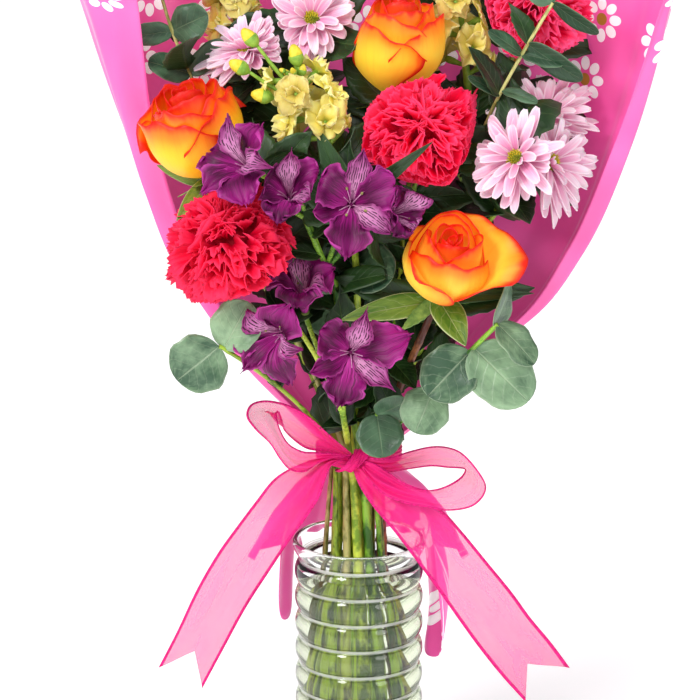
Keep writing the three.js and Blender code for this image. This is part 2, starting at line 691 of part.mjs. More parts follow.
// Green cup under a bloom, its top just below the petals
function cup(head, topRadius, footRadius, height) {
  return shaped(
    new THREE.CylinderGeometry(topRadius, footRadius, height, 5).rotateX(Math.PI / 2),
    (p) => placed(head, p.x, p.y, p.z - height / 2 - CUP_GAP),
  );
}

function sepals(head, count, length, width, droop) {
  const parts = [];
  for (let k = 0; k < count; k += 1) {
    const angle = (2 * Math.PI * (k + 0.2)) / count;
    const point = (r, z) => placed(head, r * Math.cos(angle), r * Math.sin(angle), z);
    const path = [point(2, -4), point(length * 0.45, -3.6 - droop * 0.3), point(length, -3.8 - droop)];
    parts.push(sliver(path, [width, width * 0.8, 0.5], head.axis.clone(), 1.2));
  }
  return parts;
}

// Carnation: rings of frilled fans standing out of a round heart
function carnationPetals(name) {
  const head = HEADS[name];
  const draw = seeded(name.length * 977 + 5);
  const middle = 22;
  const round = head.radius * 0.68;
  const ball = new THREE.IcosahedronGeometry(1, 0);
  const funnel = new THREE.CylinderGeometry(17, 5, 16, 6).rotateX(Math.PI / 2);
  const heart = shaped(ball, (p) => placed(head, p.x * round, p.y * round, p.z * 20 + middle));
  const neck = shaped(funnel, (p) => placed(head, p.x, p.y, p.z + 8.3));
  const parts = [heart, neck];
  for (const [row, ring] of FAN_RINGS.entries()) {
    for (let k = 0; k < ring.count; k += 1) {
      const turn = (2 * Math.PI * (k + 0.4 * row)) / ring.count;
      const half = (1.04 * Math.PI) / ring.count;
      const wave = 0.09 + 0.05 * draw();
      const long = 1 - 0.1 * draw();
      parts.push(blade((u, v) => {
        const zig = Math.round((u + 1) * 1.5) % 2 === 0 ? 1 : -1;
        const angle = turn + u * half * (0.8 + 0.2 * v);
        const tilt = ring.lean + zig * wave * v + 0.05 * u;
        const r = head.radius * (0.42 + 0.58 * v) * long * (1 + 0.04 * zig * v);
        const flat = r * Math.sin(tilt);
        const z = middle + r * 0.72 * Math.cos(tilt);
        return placed(head, flat * Math.cos(angle), flat * Math.sin(angle), z);
      }, 3, 1));
    }
  }
  return joined(parts);
}

// Daisy mum: rings of channelled strap petals, one above another, round a low cone
function mumPetals(name) {
  const head = HEADS[name];
  const draw = seeded(name.length * 389 + 11);
  const cone = new THREE.CylinderGeometry(7.6, 8.6, 5.8, 8).rotateX(Math.PI / 2);
  const parts = [shaped(cone, (p) => placed(head, p.x, p.y, p.z + 3.2))];
  MUM_LAYERS.forEach((layer, row) => {
    for (let k = 0; k < layer.count; k += 1) {
      const angle = (2 * Math.PI * (k + 0.37 * row + 0.2 * draw())) / layer.count;
      const long = head.radius * layer.length * (0.88 + 0.12 * draw()) - 6;
      const rise = layer.rise + 0.1 * draw();
      const width = layer.width / 2;
      const point = (t) => {
        const r = 6 + long * t * Math.cos(rise);
        const z = 2 + row * 1.6 + long * Math.sin(rise) * t * (1.25 - 0.35 * t);
        return placed(head, r * Math.cos(angle), r * Math.sin(angle), z);
      };
      const widths = [width * 0.5, width, width * 0.45];
      parts.push(sliver([point(0), point(0.65), point(1)], widths, head.axis.clone(), 1.1));
    }
  });
  return joined(parts);
}

function mumDisc(name) {
  const head = HEADS[name];
  const dome = new THREE.SphereGeometry(6.4, 7, 3).rotateX(Math.PI / 2);
  return shaped(dome, (p) => placed(head, p.x, p.y, 6.5 + (p.z + 6.4) * 0.3));
}

// Peruvian lily floret: three broad and three narrow petals flaring from a short throat
function lilyPetals(name) {
  const head = HEADS[name];
  const throat = new THREE.CylinderGeometry(6.5, 2.6, 15, 5).rotateX(Math.PI / 2);
  const parts = [shaped(throat, (p) => placed(head, p.x, p.y, p.z + 7.8))];
  for (let k = 0; k < 6; k += 1) {
    const broad = k % 2 === 0;
    const middle = (2 * Math.PI * k) / 6 + 0.4;
    const wide = broad ? 9.5 : 6;
    const long = head.radius * (broad ? 1 : 0.94);
    parts.push(blade((u, v) => {
      const r = 2.5 + (long - 2.5) * v ** 1.35;
      const z = 9 + (broad ? 20 : 23) * Math.sin(Math.min(1, v * 1.05) * 1.75) - 2 * u * u;
      const half = wide * [0.26, 0.95, 0.4][Math.round(v * 2)];
      const x = r * Math.cos(middle) - u * half * Math.sin(middle);
      const y = r * Math.sin(middle) + u * half * Math.cos(middle);
      return placed(head, x, y, z);
    }, 1, 2));
  }
  return joined(parts);
}

// Stock: frilled florets set close round a slim heart that clasps the stem
function stockFlorets(name, count) {
  const head = HEADS[name];
  const draw = seeded(name.length * 523 + 17);
  const long = head.half * 2;
  const heart = shaped(
    new THREE.SphereGeometry(1, 6, 4).rotateX(Math.PI / 2),
    (p) => placed(head, p.x * STOCK_HEART, p.y * STOCK_HEART, head.half * (0.96 + 0.95 * p.z)),
  );
  const parts = [heart];
  for (let k = 0; k < count; k += 1) {
    const turn = k * 2.39996 + 0.5 * draw();
    const z = long * (0.14 + (0.72 * (k + 0.5)) / count);
    const size = 14.5 - 4 * (k / count);
    const out = new THREE.Vector3(Math.cos(turn), Math.sin(turn), 0.35 + 0.3 * draw()).normalize();
    const side = new THREE.Vector3(-out.y, out.x, 0).normalize();
    const top = out.clone().cross(side);
    const foot = new THREE.Vector3(Math.cos(turn) * 7, Math.sin(turn) * 7, z);
    parts.push(floret(head, foot, out, side, top, size, head.radius - STOCK_HEART));
  }
  for (const at of BUDS[name] ?? []) {
    const root = placed(head, 0, 0, long * 0.72);
    const axis = vec(at).sub(root);
    parts.push(tube([root, vec(at)], 1.3), bud(vec(at), BUD_LENGTH, axis));
  }
  return joined(parts);
}

// One ruffled floret: a wavy funnel with a scalloped edge of six points
function floret(head, foot, out, side, top, size, rise) {
  const corners = [];
  const push = (p) => {
    const q = placed(head, p.x, p.y, p.z);
    corners.push(q.toArray());
  };
  const rim = (angle, r, h) => foot.clone()
    .addScaledVector(out, h)
    .addScaledVector(side, r * Math.cos(angle))
    .addScaledVector(top, r * Math.sin(angle));
  const waves = 6;
  for (const layer of [0, 1]) {
    push(foot.clone().addScaledVector(out, -1 - layer * 1.2));
    for (let k = 0; k < waves; k += 1) {
      const high = k % 2 === 0;
      const r = size * (high ? 1 : 0.8);
      push(rim((2 * Math.PI * k) / waves, r, rise * (high ? 0.8 : 1.05) - layer * 0.9));
    }
  }
  const triangles = [];
  const back = waves + 1;
  for (let k = 0; k < waves; k += 1) {
    const a = 1 + k;
    const b = 1 + ((k + 1) % waves);
    triangles.push([0, a, b], [back, back + b, back + a], [a, back + a, b], [b, back + a, back + b]);
  }
  return solid(corners, triangles);
}

// A bud: a small egg on the end of its stalk
function bud(at, size, axis) {
  const upright = new THREE.Vector3(0, 0, 1);
  const turn = new THREE.Quaternion().setFromUnitVectors(upright, axis.clone().normalize());
  const egg = new THREE.SphereGeometry(1, 5, 3).rotateX(Math.PI / 2);
  return shaped(egg, (p) => p.multiply(new THREE.Vector3(0.62, 0.62, 1)).multiplyScalar(size)
    .applyQuaternion(turn).add(at));
}

function makeVase() {
  const profile = [[0, 0], [38, 0], [VASE_RING - 1.5, 3]];
  const rings = Math.floor((TOP_GROOVE - 12) / RING_PITCH);
  for (let k = rings; k >= 0; k -= 1) {
    const groove = TOP_GROOVE - k * RING_PITCH;
    profile.push([VASE_GROOVE, groove]);
    if (k > 0) profile.push([VASE_RING, groove + RING_PITCH / 2]);
  }
  profile.push([VASE_RIM, VASE_HEIGHT - 3], [VASE_RIM - 1.2, VASE_HEIGHT]);
  profile.push([VASE_RIM - 4, VASE_HEIGHT - 0.6]);
  profile.push([VASE_INSIDE, TOP_GROOVE], [VASE_INSIDE, VASE_FLOOR], [0, VASE_FLOOR]);
  const points = profile.map(([r, z]) => new THREE.Vector2(r, z));
  add('vase', shaped(new THREE.LatheGeometry(points, VASE_SIDES).rotateX(Math.PI / 2)), 'glass');
}

function makeWater() {
  const radius = VASE_INSIDE - CLEAR;
  const low = VASE_FLOOR + CLEAR;
  const profile = [[0, low], [radius, low], [radius, WATER_TOP], [0, WATER_TOP]];
  const points = profile.map(([r, z]) => new THREE.Vector2(r, z));
  const fill = shaped(new THREE.LatheGeometry(points, VASE_SIDES).rotateX(Math.PI / 2));
  const foot = (stem) => [belowTie(stem.place, VASE_FLOOR - 2), belowTie(stem.place, WATER_TOP + 20)];
  const holes = STEMS.map((stem) => tube(foot(stem), stem.width, CLEAR));
  add('water', fill.subtract(Manifold.union(holes)), 'water');
}

// The wrap: one sheet from its flared top edge down through the tie to the skirt's hem
function makeWrap() {
  const rows = [];
  for (const z of [...WRAP_HEIGHTS].reverse()) rows.push({ z });
  rows.push({ z: TIE_TOP }, { skirt: 0 }, { skirt: 0.25 }, { skirt: 0.5 }, { skirt: 0.75 }, { skirt: 1 });
  const point = (u, v) => {
    const row = rows[Math.round(v * (rows.length - 1))];
    const z = row.z ?? TIE_TOP;
    const edge = along(u < 0 ? WRAP_EDGE_LEFT : WRAP_EDGE_RIGHT, z);
    const degrees = u * (row.z ? edge : edge + (SKIRT_EDGE - edge) * row.skirt);
    const pleat = Math.cos(u * Math.PI * WRAP_PLEATS);
    if (row.z) {
      const p = wrapPoint(degrees, z, pleat * along([[TIE_TOP, 0.5], [340, 2.4], [420, 0]], z));
      const crest = row.z === WRAP_HEIGHTS.at(-1) ? 14 * Math.cos(u * Math.PI * 0.9) + 3 * pleat : 0;
      p.z += crest;
      return p;
    }
    return skirtPoint(degrees, row.skirt, pleat);
  };
  add('wrap', blade(point, WRAP_COLUMNS, rows.length - 1, WRAP_THICK), 'wrap');
}

function skirtPoint(degrees, t, pleat) {
  const angle = THREE.MathUtils.degToRad(degrees);
  const corner = THREE.MathUtils.smoothstep(Math.abs(degrees), 84, 112);
  const shoulder = VASE_HEIGHT + 8;
  const hemZ = (degrees < 0 ? SKIRT_LEFT_Z : SKIRT_RIGHT_Z) * (1 - corner) + SKIRT_CORNER_Z * corner;
  const straight = (z) => along([[hemZ, SKIRT_RIM + 3], [shoulder, SKIRT_RIM], [TIE_LOW, 24]], z);
  const z = t < 0.5 ? TIE_LOW + (shoulder - TIE_LOW) * 2 * t : shoulder + (hemZ - shoulder) * (2 * t - 1);
  const r = straight(z) * (1 - corner) + along(SKIRT_FLARE, z) * corner + pleat * (0.5 + 2.3 * t) + 1.6 * t;
  return new THREE.Vector3(r * Math.sin(angle), r * Math.cos(angle), z);
}

// Ribbon edges: the near edge and the far edge of each loop and tail, from the knot outwards and back
const RIBBON = {
  left_loop: {
    near: [[-4, -38, 272], [-18, -44, 286], [-36, -46, 303], [-52, -46, 311], [-66, -50, 314],
      [-74, -55, 312], [-76, -60, 306], [-70, -64, 298], [-60, -64, 288], [-53, -62, 276], [-46, -58, 267],
      [-36, -54, 265], [-28, -50, 270], [-18, -44, 273], [-6, -40, 272]],
    far: [[-5, -36, 268], [-19, -38, 274], [-35, -38, 276], [-44, -38, 282], [-51, -38, 290],
      [-53, -39, 298], [-55, -41, 304], [-56, -46, 303], [-54, -54, 295], [-48, -56, 285], [-38, -54, 279],
      [-31, -52, 278], [-22, -48, 276], [-14, -44, 274], [-5, -38, 268]],
  },
  right_loop: {
    near: [[1, -38, 270], [18, -42, 270], [35, -44, 276], [50, -46, 280], [60, -48, 280],
      [69, -50, 277], [80, -54, 266], [86, -60, 256], [84, -64, 250], [77, -66, 244], [61, -66, 241],
      [45, -64, 243], [32, -60, 244], [18, -54, 248], [9, -46, 254], [1, -40, 266]],
    far: [[2, -36, 265], [18, -38, 260], [34, -38, 262], [50, -38, 264], [61, -38, 263],
      [68, -39, 263], [72, -41, 263], [72, -46, 262], [67, -54, 259], [54, -58, 254], [43, -60, 254],
      [29, -56, 258], [21, -50, 262], [14, -46, 266], [8, -42, 268], [-1, -38, 268]],
  },
  left_tail: {
    near: [[-5, -38, 270], [-28, -44, 271], [-40, -48, 268], [-50, -50, 264], [-59, -52, 258],
      [-70, -54, 244], [-81, -55, 229], [-96, -57, 208], [-111, -59, 182], [-125, -61, 152],
      [-138, -62, 126]],
    far: [[-4, -36, 266], [-13, -40, 268], [-19, -44, 266], [-23, -47, 257], [-27, -49, 245],
      [-36, -51, 231], [-47, -53, 216], [-61, -56, 195], [-77, -59, 170], [-93, -61, 140],
      [-108, -62, 111]],
    notch: [-113, -62, 138],
  },
  right_tail: {
    near: [[-2, -38, 270], [17, -44, 259], [36, -48, 249], [58, -52, 235], [70, -53, 222],
      [88, -55, 200], [105, -57, 179], [118, -59, 161], [132, -61, 144], [145, -62, 126]],
    far: [[-5, -36, 265], [-1, -42, 254], [8, -47, 240], [24, -50, 221], [36, -52, 205],
      [52, -54, 183], [68, -57, 160], [83, -59, 139], [99, -61, 119], [115, -62, 101]],
    notch: [116, -62, 129],
  },
};

function strip({ near, far, notch }, across, steps) {
  const one = new THREE.CatmullRomCurve3(near.map(vec), false, 'centripetal');
  const two = new THREE.CatmullRomCurve3(far.map(vec), false, 'centripetal');
  return blade((u, v) => {
    const p = one.getPoint(v).lerp(two.getPoint(v), (u + 1) / 2);
    return notch && v === 1 && u === 0 ? vec(notch) : p;
  }, across, steps, RIBBON_THICK);
}

function makeRibbon() {
  const inner = BAND_RADIUS;
  const outer = BAND_RADIUS + RIBBON_THICK;
  const low = BAND_LOW;
  const high = BAND_HIGH;
  const section = [[inner, low], [outer, low], [outer, high], [inner, high], [inner, low]];
  const band = section.map(([r, z]) => new THREE.Vector2(r, z));
  const knot = shaped(new THREE.IcosahedronGeometry(1, 1), (p) => new THREE.Vector3(
    KNOT[0] + p.x * 10,
    KNOT[1] + p.y * 8,
    KNOT[2] + p.z * 7.5,
  ));
  const parts = [knot, shaped(new THREE.LatheGeometry(band, 16).rotateX(Math.PI / 2))];
  parts.push(strip(RIBBON.left_loop, 1, 10), strip(RIBBON.right_loop, 1, 10));
  parts.push(strip(RIBBON.left_tail, 2, 4), strip(RIBBON.right_tail, 2, 4));
  add('ribbon', joined(parts), 'ribbon');
}

// Cuts the way of every other stem through a bloom or leaf that still stands in it.
function freed(body, ownStem) {
  const box = body.boundingBox();
  let rest = body;
  for (const stem of STEMS) {
    if (stem.name === ownStem) continue;
    for (const way of stem.ways) {
      const { min, max } = way.boundingBox();
      const apart = [0, 1, 2].some((k) => min[k] > box.max[k] || max[k] < box.min[k]);
      if (!apart && rest.intersect(way).volume() > 1e-6) {
        rest = joined([rest.subtract(way)]);
      }
    }
  }
  return rest;
}

function stemOf(bloom) {
  return STEMS.find((stem) => stem.blooms?.includes(bloom)).name;
}

function makeBlooms() {
  for (const name of Object.keys(HEADS)) {
    const own = stemOf(name);
    if (name.startsWith('rose')) {
      add(name, freed(rosePetals(name, name === 'rose_front' ? OPEN_LAYERS : BUD_LAYERS), own), 'rose');
    } else if (name.startsWith('carnation')) {
      add(name, freed(carnationPetals(name), own), 'carnation');
    } else if (name.startsWith('mum')) {
      add(name, freed(mumPetals(name), own), 'mum');
      add(`${name}_disc`, mumDisc(name), 'disc');
    } else if (name.startsWith('lily')) {
      add(name, freed(lilyPetals(name), own), 'lily');
    } else {
      add(name, freed(stockFlorets(name, STOCK_FLORETS), own), 'stock');
    }
  }
}

// What grows on each stem besides its blooms
function stemParts(stem) {
  const parts = stemTubes(stem);
  for (const name of stem.blooms ?? []) {
    const head = HEADS[name];
    if (name.startsWith('rose')) parts.push(cup(head, 6.5, 4, 8), ...sepals(head, 4, 27, 5, 6));
    if (name.startsWith('carnation')) parts.push(cup(head, 5.5, 3, 22));
    if (name.startsWith('mum')) parts.push(cup(head, 6, 2.5, 5));
    if (name.startsWith('lily')) parts.push(cup(head, 2.6, 2, 6));
  }
  for (const leaf of LEAVES[stem.name] ?? []) {
    parts.push(leafBlade(leaf, nearestOn(stem, vec(leaf.from))));
  }
  return parts;
}

// The place on a stem's tubes that is nearest to a point
function nearestOn(stem, p) {
  let best = stem.lines[0].points[0];
  for (const line of stem.lines) {
    const rings = stations(line.points);
    for (let k = 1; k < rings.length; k += 1) {
      const q = new THREE.Line3(rings[k - 1], rings[k]).closestPointToPoint(p, true, new THREE.Vector3());
      if (q.distanceTo(p) < best.distanceTo(p)) best = q;
    }
  }
  return best.clone();
}

function makeStems() {
  for (const stem of STEMS) {
    let colour = 'stem';
    if (stem.name.startsWith('eucalyptus')) colour = 'eucalyptus';
    if (stem.name === 'leafy_greens') colour = 'leaf';
    add(stem.name, freed(joined(stemParts(stem)), stem.name), colour);
  }
}

routeStems();
for (const stem of STEMS) stem.ways = stemTubes(stem, CLEAR);
makeVase();
makeWater();
makeWrap();
makeRibbon();
makeBlooms();
makeStems();

export default bouquet;
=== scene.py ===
"""A mixed flower bouquet in a pink wrap and bow, standing in water in a ringed glass vase."""

import math
from functools import cached_property

import bpy
import numpy as np
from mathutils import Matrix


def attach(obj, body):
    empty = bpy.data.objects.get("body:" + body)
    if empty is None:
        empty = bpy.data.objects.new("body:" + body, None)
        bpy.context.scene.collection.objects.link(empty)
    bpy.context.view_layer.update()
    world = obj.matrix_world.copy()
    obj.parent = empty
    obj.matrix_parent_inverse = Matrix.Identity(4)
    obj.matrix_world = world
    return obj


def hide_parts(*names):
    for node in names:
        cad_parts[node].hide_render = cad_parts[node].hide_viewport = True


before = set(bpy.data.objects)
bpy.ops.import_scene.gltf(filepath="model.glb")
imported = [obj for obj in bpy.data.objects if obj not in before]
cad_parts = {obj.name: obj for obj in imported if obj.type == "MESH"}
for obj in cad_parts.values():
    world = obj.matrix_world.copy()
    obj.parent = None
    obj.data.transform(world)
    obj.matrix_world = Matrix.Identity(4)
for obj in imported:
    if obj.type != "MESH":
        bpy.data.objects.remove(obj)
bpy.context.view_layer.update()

# Sizes and places are in millimetres, as on the solids, and become metres where a mesh is made.
MM = 0.001

# Camera
AIM = np.array([-6.2, 0, 335.8])
CAMERA_AWAY = 2414
CAMERA_DROP = math.radians(15.4)
LENS = 180

# Vase and water
VASE_HEIGHT = 200
VASE_RIM = 46.4
VASE_RING = 45
VASE_GROOVE = 41.4
VASE_INSIDE = 39
VASE_FLOOR = 8
TOP_GROOVE = 186
RING_PITCH = 19
VASE_LIP = 1.9
LIP_DROP = 3
WATER_TOP = 178
LATHE_SIDES = 96

# Stems
TIE_Z = 264
TIE_TOP = 272
TIE_LOW = 256
STEM_FOOT_Z = 8.35
STEM_PITCH = 6.5
STEM_SPREAD = 2.05
STEM_TWIST = 0.75
STEM_EASE = 0.62
STEM_GAP = 1.1
LINE_PITCH = 4
SETTLE_ROUNDS = 160
SETTLE_EASE = 0.35
WRAP_GAP = 3
BLOOM_GAP = 1.2
BRANCH_SHARE = 0.72
FOOT_DROP = 3
STOCK_FOOT_DROP = 0.35
TIE_RISE = 12
LEAN_RUN = 60
LEAN_EASE = 30
TUBE_SIDES = 9

# Walls between blooms: the gap under which one is set, half the clearance at it, and where petals start
# to be held back from it, as a share of the way there
WALL_GAP = 2
WALL_CLEAR = 0.6
WALL_SOFT = 0.65

# Wrap, against height: its half width on the left and on the right, its depth at the back and at the
# front, and the angle from the back at which each edge lies
WRAP_WIDE = (
    [(TIE_TOP, 26.8), (290, 44), (314, 67), (368, 101), (403, 123), (449, 143), (513, 167), (580, 188),
     (650, 205)],
    [(TIE_TOP, 26), (290, 48), (339, 90), (364, 118), (403, 145), (477, 178), (532, 196), (580, 208),
     (650, 222)],
)
WRAP_DEEP = (
    [(TIE_TOP, 24), (300, 38), (350, 52), (420, 66), (500, 77), (580, 86), (650, 93)],
    [(TIE_TOP, 24), (300, 30), (350, 34), (450, 38), (580, 42), (650, 44)],
)
WRAP_EDGE = (
    [(TIE_TOP, 122), (300, 116), (350, 110), (450, 114), (580, 128), (650, 132)],
    [(TIE_TOP, 126), (300, 114), (350, 106), (450, 101), (580, 98), (650, 96)],
)
WRAP_TOP = 635
SKIRT_RIM = 50.5
SKIRT_CORNER_Z = 194
SKIRT_EDGE = 114
SKIRT_LEFT_Z = 132
SKIRT_RIGHT_Z = 104
SKIRT_BACK_Z = 190
SKIRT_FLARE = [(194, 80), (225, 62), (245, 44), (TIE_LOW, 24)]

# Print, on the wrap laid flat: one daisy's place, the steps to the next ones, its dots, and where it ends
DAISY_AT = (173, 91)
DAISY_ROW = (51.6, 9.75)
DAISY_COLUMN = (-12, 42)
DAISY_DOTS = 8
DAISY_RING = 11.0
DAISY_DOT_WIDE = 3.5
DAISY_DOT_LONG = 4.6
DAISY_EYE = 4.0
PRINT_LEFT = 85.0
PRINT_RIGHT = 138.0
PRINT_HEM = 455.0

# Every bloom: its middle, the way it faces, its radius and half its depth
HEADS = {
    "rose_left": ([-108, -50, 498], [-0.31, -0.25, 0.92], 37, 38),
    "rose_top": ([25, -15, 550], [0.03, -0.2, 0.98], 36, 38),
    "rose_front": ([58, -81, 420], [0.16, -0.52, 0.84], 51, 34),
    "carnation_centre": ([41.5, -60, 501], [0, -0.85, 0.53], 47, 28),
    "carnation_left": ([-84, -78, 434], [-0.3, -0.7, 0.65], 49, 28),
    "carnation_top": ([116, 18, 571], [0.2, -0.6, 0.77], 44, 28),
    "mum_right": ([100, -72, 489], [-0.38, -0.83, 0.4], 39, 15),
    "mum_side": ([135, -38, 478], [0.72, -0.62, 0.3], 42, 15),
    "mum_back": ([128, 4, 507], [0.1, -0.5, 0.86], 39, 15),
    "mum_left": ([-78, -10, 556], [-0.35, -0.35, 0.87], 37, 15),
    "mum_top": ([-32, -8, 572], [0, -0.8, 0.6], 38, 15),
    "mum_shade": ([-44, 28, 548], [0.2, -0.5, 0.84], 27, 12),
    "lily_left": ([-76, -97, 487], [-0.55, -0.7, 0.45], 30, 18),
    "lily_upper": ([-47, -92, 468], [-0.1, -0.75, 0.65], 28, 18),
    "lily_centre": ([-5, -102, 463], [0.05, -0.95, 0.3], 33, 18),
    "lily_right": ([24, -84, 452], [0.6, -0.72, 0.35], 22, 15),
    "lily_low": ([-54, -87, 370], [-0.55, -0.82, -0.1], 29, 17),
    "lily_bud": ([-38, -66, 393], [-0.1, -0.5, 0.86], 24, 17),
    "lily_front": ([-5, -92, 359], [0.1, -0.97, 0.2], 31, 18),
    "lily_top": ([60, 50, 583], [0, -0.6, 0.8], 24, 16),
    "stock_front": ([-31, -55, 514], [-0.42, 0, 0.91], 26, 33),
    "stock_right": ([70, 20, 556], [-0.1, 0.05, 0.99], 24, 42),
    "stock_back": ([-84, 42, 556], [-0.04, 0, 1], 22, 50),
}

# The front rose's solid leans further forward. Its stem takes the place in the tie that the solid's has.
ROSE_FRONT_SOLID = ([65, -75, 421], [0.13, -0.7, 0.71], 51, 34)

# Every stem: its name, thickness, colour, the blooms it ends in, and then where it forks or the way it runs
STEMS = [
    ("rose_left_stem", 2.7, "olive", ["rose_left"]),
    ("rose_top_stem", 2.7, "lime", ["rose_top"]),
    ("rose_front_stem", 2.7, "red_brown", ["rose_front"]),
    ("carnation_centre_stem", 2, "blue_green", ["carnation_centre"]),
    ("carnation_left_stem", 2, "tan", ["carnation_left"]),
    ("carnation_top_stem", 2, "blue_green", ["carnation_top"]),
    ("mum_right_stem", 2.2, "olive", ["mum_right", "mum_side", "mum_back"], [88, -14, 430]),
    ("mum_left_stem", 2.2, "lime", ["mum_left", "mum_top", "mum_shade"], [-42, 8, 486]),
    ("lily_upper_stem", 2.4, "green", ["lily_left", "lily_upper", "lily_centre", "lily_right"],
     [-22, -58, 408]),
    ("lily_lower_stem", 2.4, "lime", ["lily_low", "lily_bud", "lily_front"], [-11, -54, 305]),
    ("lily_top_stem", 2.2, "green", ["lily_top"]),
    ("stock_front_stem", 2.6, "lime", ["stock_front"]),
    ("stock_right_stem", 2.6, "green", ["stock_right"]),
    ("stock_back_stem", 2.6, "lime", ["stock_back"]),
    ("eucalyptus_left", 1.6, "olive", [], None, [[-40, -52, 312], [-70, -74, 346], [-93, -86, 362]]),
    ("eucalyptus_right", 1.8, "green", [], None,
     [[26, -50, 296], [50, -66, 326], [74, -76, 358], [92, -82, 376]]),
    ("eucalyptus_front", 1.5, "green", [], None, [[3, -48, 288], [12, -56, 306]]),
    ("eucalyptus_middle", 1.8, "maroon", [], None, [[-8, -14, 360], [-10, -26, 410], [-12, -20, 450]]),
    ("eucalyptus_tip_left", 1.3, "tan", [], None,
     [[-78, -4, 440], [-112, -2, 527], [-131, 0, 560], [-136, 4, 596]]),
    ("eucalyptus_tip_right", 1.3, "tan", [], None,
     [[66, -2, 440], [90, -34, 519], [107, -33, 547], [128, -31, 583]]),
    ("leafy_greens", 1.8, "lime", [], None, [[20, -32, 330], [28, -24, 380], [30, -14, 430]]),
]

# Leaves: where each joins its stem, its far end, the way its face looks, half its width, and its kind
LEAVES = {
    "rose_front_stem": [
        ([46, -66, 384], [-10, -80, 383], [0, -0.8, 0.6], 9, "sepal"),
        ([51, -72, 384], [70, -94, 369], [0.2, -0.9, 0.4], 11, "sepal"),
        ([70, -64, 388], [117, -62, 394], [0, -0.9, 0.4], 5, "blade"),
    ],
    "rose_left_stem": [
        ([-97, -56, 466], [-120, -72, 449], [-0.2, -0.9, 0.4], 7, "sepal"),
        ([-108, -50, 462], [-134, -50, 474], [-0.4, -0.9, -0.1], 7, "sepal"),
    ],
    "lily_upper_stem": [
        ([-4, -88, 470], [42, -114, 503], [0.2, -0.9, 0.4], 5.5, "blade"),
        ([-9, -74, 480], [-28, -84, 508], [-0.1, -0.95, 0.2], 9, "blade"),
    ],
    "eucalyptus_left": [
        ([-91, -85, 361], [-74, -88, 392], [-0.2, -0.95, 0.2], 17, "round"),
        ([-94, -86, 362], [-121, -90, 339], [0.1, -0.98, 0.1], 21, "round"),
    ],
    "eucalyptus_right": [
        ([74, -78, 358], [112, -92, 326], [0, -0.95, 0.25], 21, "round"),
        ([72, -77, 357], [46, -86, 328], [-0.1, -0.97, 0.2], 19, "round"),
        ([50, -67, 326], [38, -78, 300], [0, -0.98, -0.1], 17, "round"),
        ([92, -82, 376], [118, -88, 352], [0.5, -0.7, 0.5], 13, "round"),
        ([90, -80, 375], [104, -62, 398], [0.7, -0.6, -0.3], 12, "round"),
    ],
    "eucalyptus_front": [
        ([11, -57, 305], [16, -71, 281], [0.1, -0.97, -0.2], 16, "round"),
        ([12, -57, 307], [33, -66, 317], [0.2, -0.9, -0.3], 12, "round"),
    ],
    "eucalyptus_middle": [
        ([-9, -24, 400], [-40, -66, 412], [-0.2, -0.9, 0.3], 18, "round"),
        ([-10, -26, 406], [18, -72, 408], [0.2, -0.95, 0.2], 19, "round"),
        ([-8, -16, 366], [-38, -30, 372], [-0.2, -0.9, 0.2], 17, "round"),
        ([-8, -16, 368], [26, -28, 366], [0.2, -0.9, 0.2], 17, "round"),
        ([-12, -21, 448], [-34, -10, 474], [-0.4, -0.8, 0.3], 14, "round"),
    ],
    "eucalyptus_tip_left": [
        ([-113, -2, 530], [-140, -14, 541], [0.2, -0.8, 0.5], 10, "round"),
        ([-112, -2, 530], [-92, -2, 552], [0.5, -0.6, 0.6], 8, "round"),
        ([-130, 0, 559], [-154, -8, 556], [0.3, -0.9, 0.3], 8, "round"),
        ([-129, 0, 558], [-103, -14, 572], [0.1, -0.9, 0.4], 13, "round"),
        ([-136, 4, 595], [-150, -2, 612], [0.5, -0.8, 0.2], 8, "round"),
        ([-136, 4, 596], [-122, -2, 616], [-0.5, -0.8, 0.2], 8, "round"),
    ],
    "eucalyptus_tip_right": [
        ([91, -34, 522], [74, -42, 536], [0, -0.7, 0.7], 5, "round"),
        ([92, -34, 523], [118, -44, 520], [0, -0.6, 0.8], 5, "round"),
        ([107, -33, 547], [87, -36, 566], [0.5, -0.6, 0.6], 7, "round"),
        ([108, -33, 548], [135, -40, 545], [0, -0.6, 0.8], 7, "round"),
        ([112, -33, 554], [146, -44, 532], [-0.3, -0.85, -0.3], 9, "round"),
        ([128, -31, 582], [118, -38, 605], [0.2, -0.9, 0.3], 14, "round"),
        ([128, -31, 582], [157, -36, 561], [-0.6, -0.7, -0.3], 7, "round"),
    ],
    "leafy_greens": [
        ([20, -32, 336], [38, -54, 328], [0.3, -0.8, 0.5], 11, "toothed"),
        ([20, -32, 340], [-8, -52, 328], [-0.3, -0.9, 0.2], 12, "toothed"),
        ([28, -24, 382], [56, -34, 366], [0.3, -0.9, 0.2], 13, "toothed"),
        ([30, -16, 420], [60, -8, 452], [0.4, -0.8, 0.3], 10, "toothed"),
        ([24, -28, 360], [4, -46, 352], [-0.2, -0.9, 0.2], 12, "toothed"),
        ([20, -32, 330], [-26, -40, 340], [-0.2, -0.9, 0.2], 12, "toothed"),
        ([16, -32, 316], [-18, -46, 306], [-0.2, -0.9, 0.2], 9, "toothed"),
        ([12, -30, 306], [-24, -36, 318], [-0.3, -0.9, 0.2], 9, "blade"),
    ],
}

# Dark leaves: how clear they keep of the blooms and of the wrap, the lowest end of one on a stem, the
# share of the wrap's width that they fill, and how long one behind the blooms may be
LEAF_BLOOM_GAP = 1.6
LEAF_WRAP_GAP = 4.5
FILL_LOW = 290
FILL_ROOM = 0.72
BACKING_LONG = 62

# Dark leaves round a bloom: how many, how far below it they start, and where they end:
# not towards the front, not low in the bouquet and not far to the left
COLLAR_LEAVES = 5
COLLAR_DROP = 12
COLLAR_FRONT = -0.15
COLLAR_LOW = 390
COLLAR_LEFT = -124

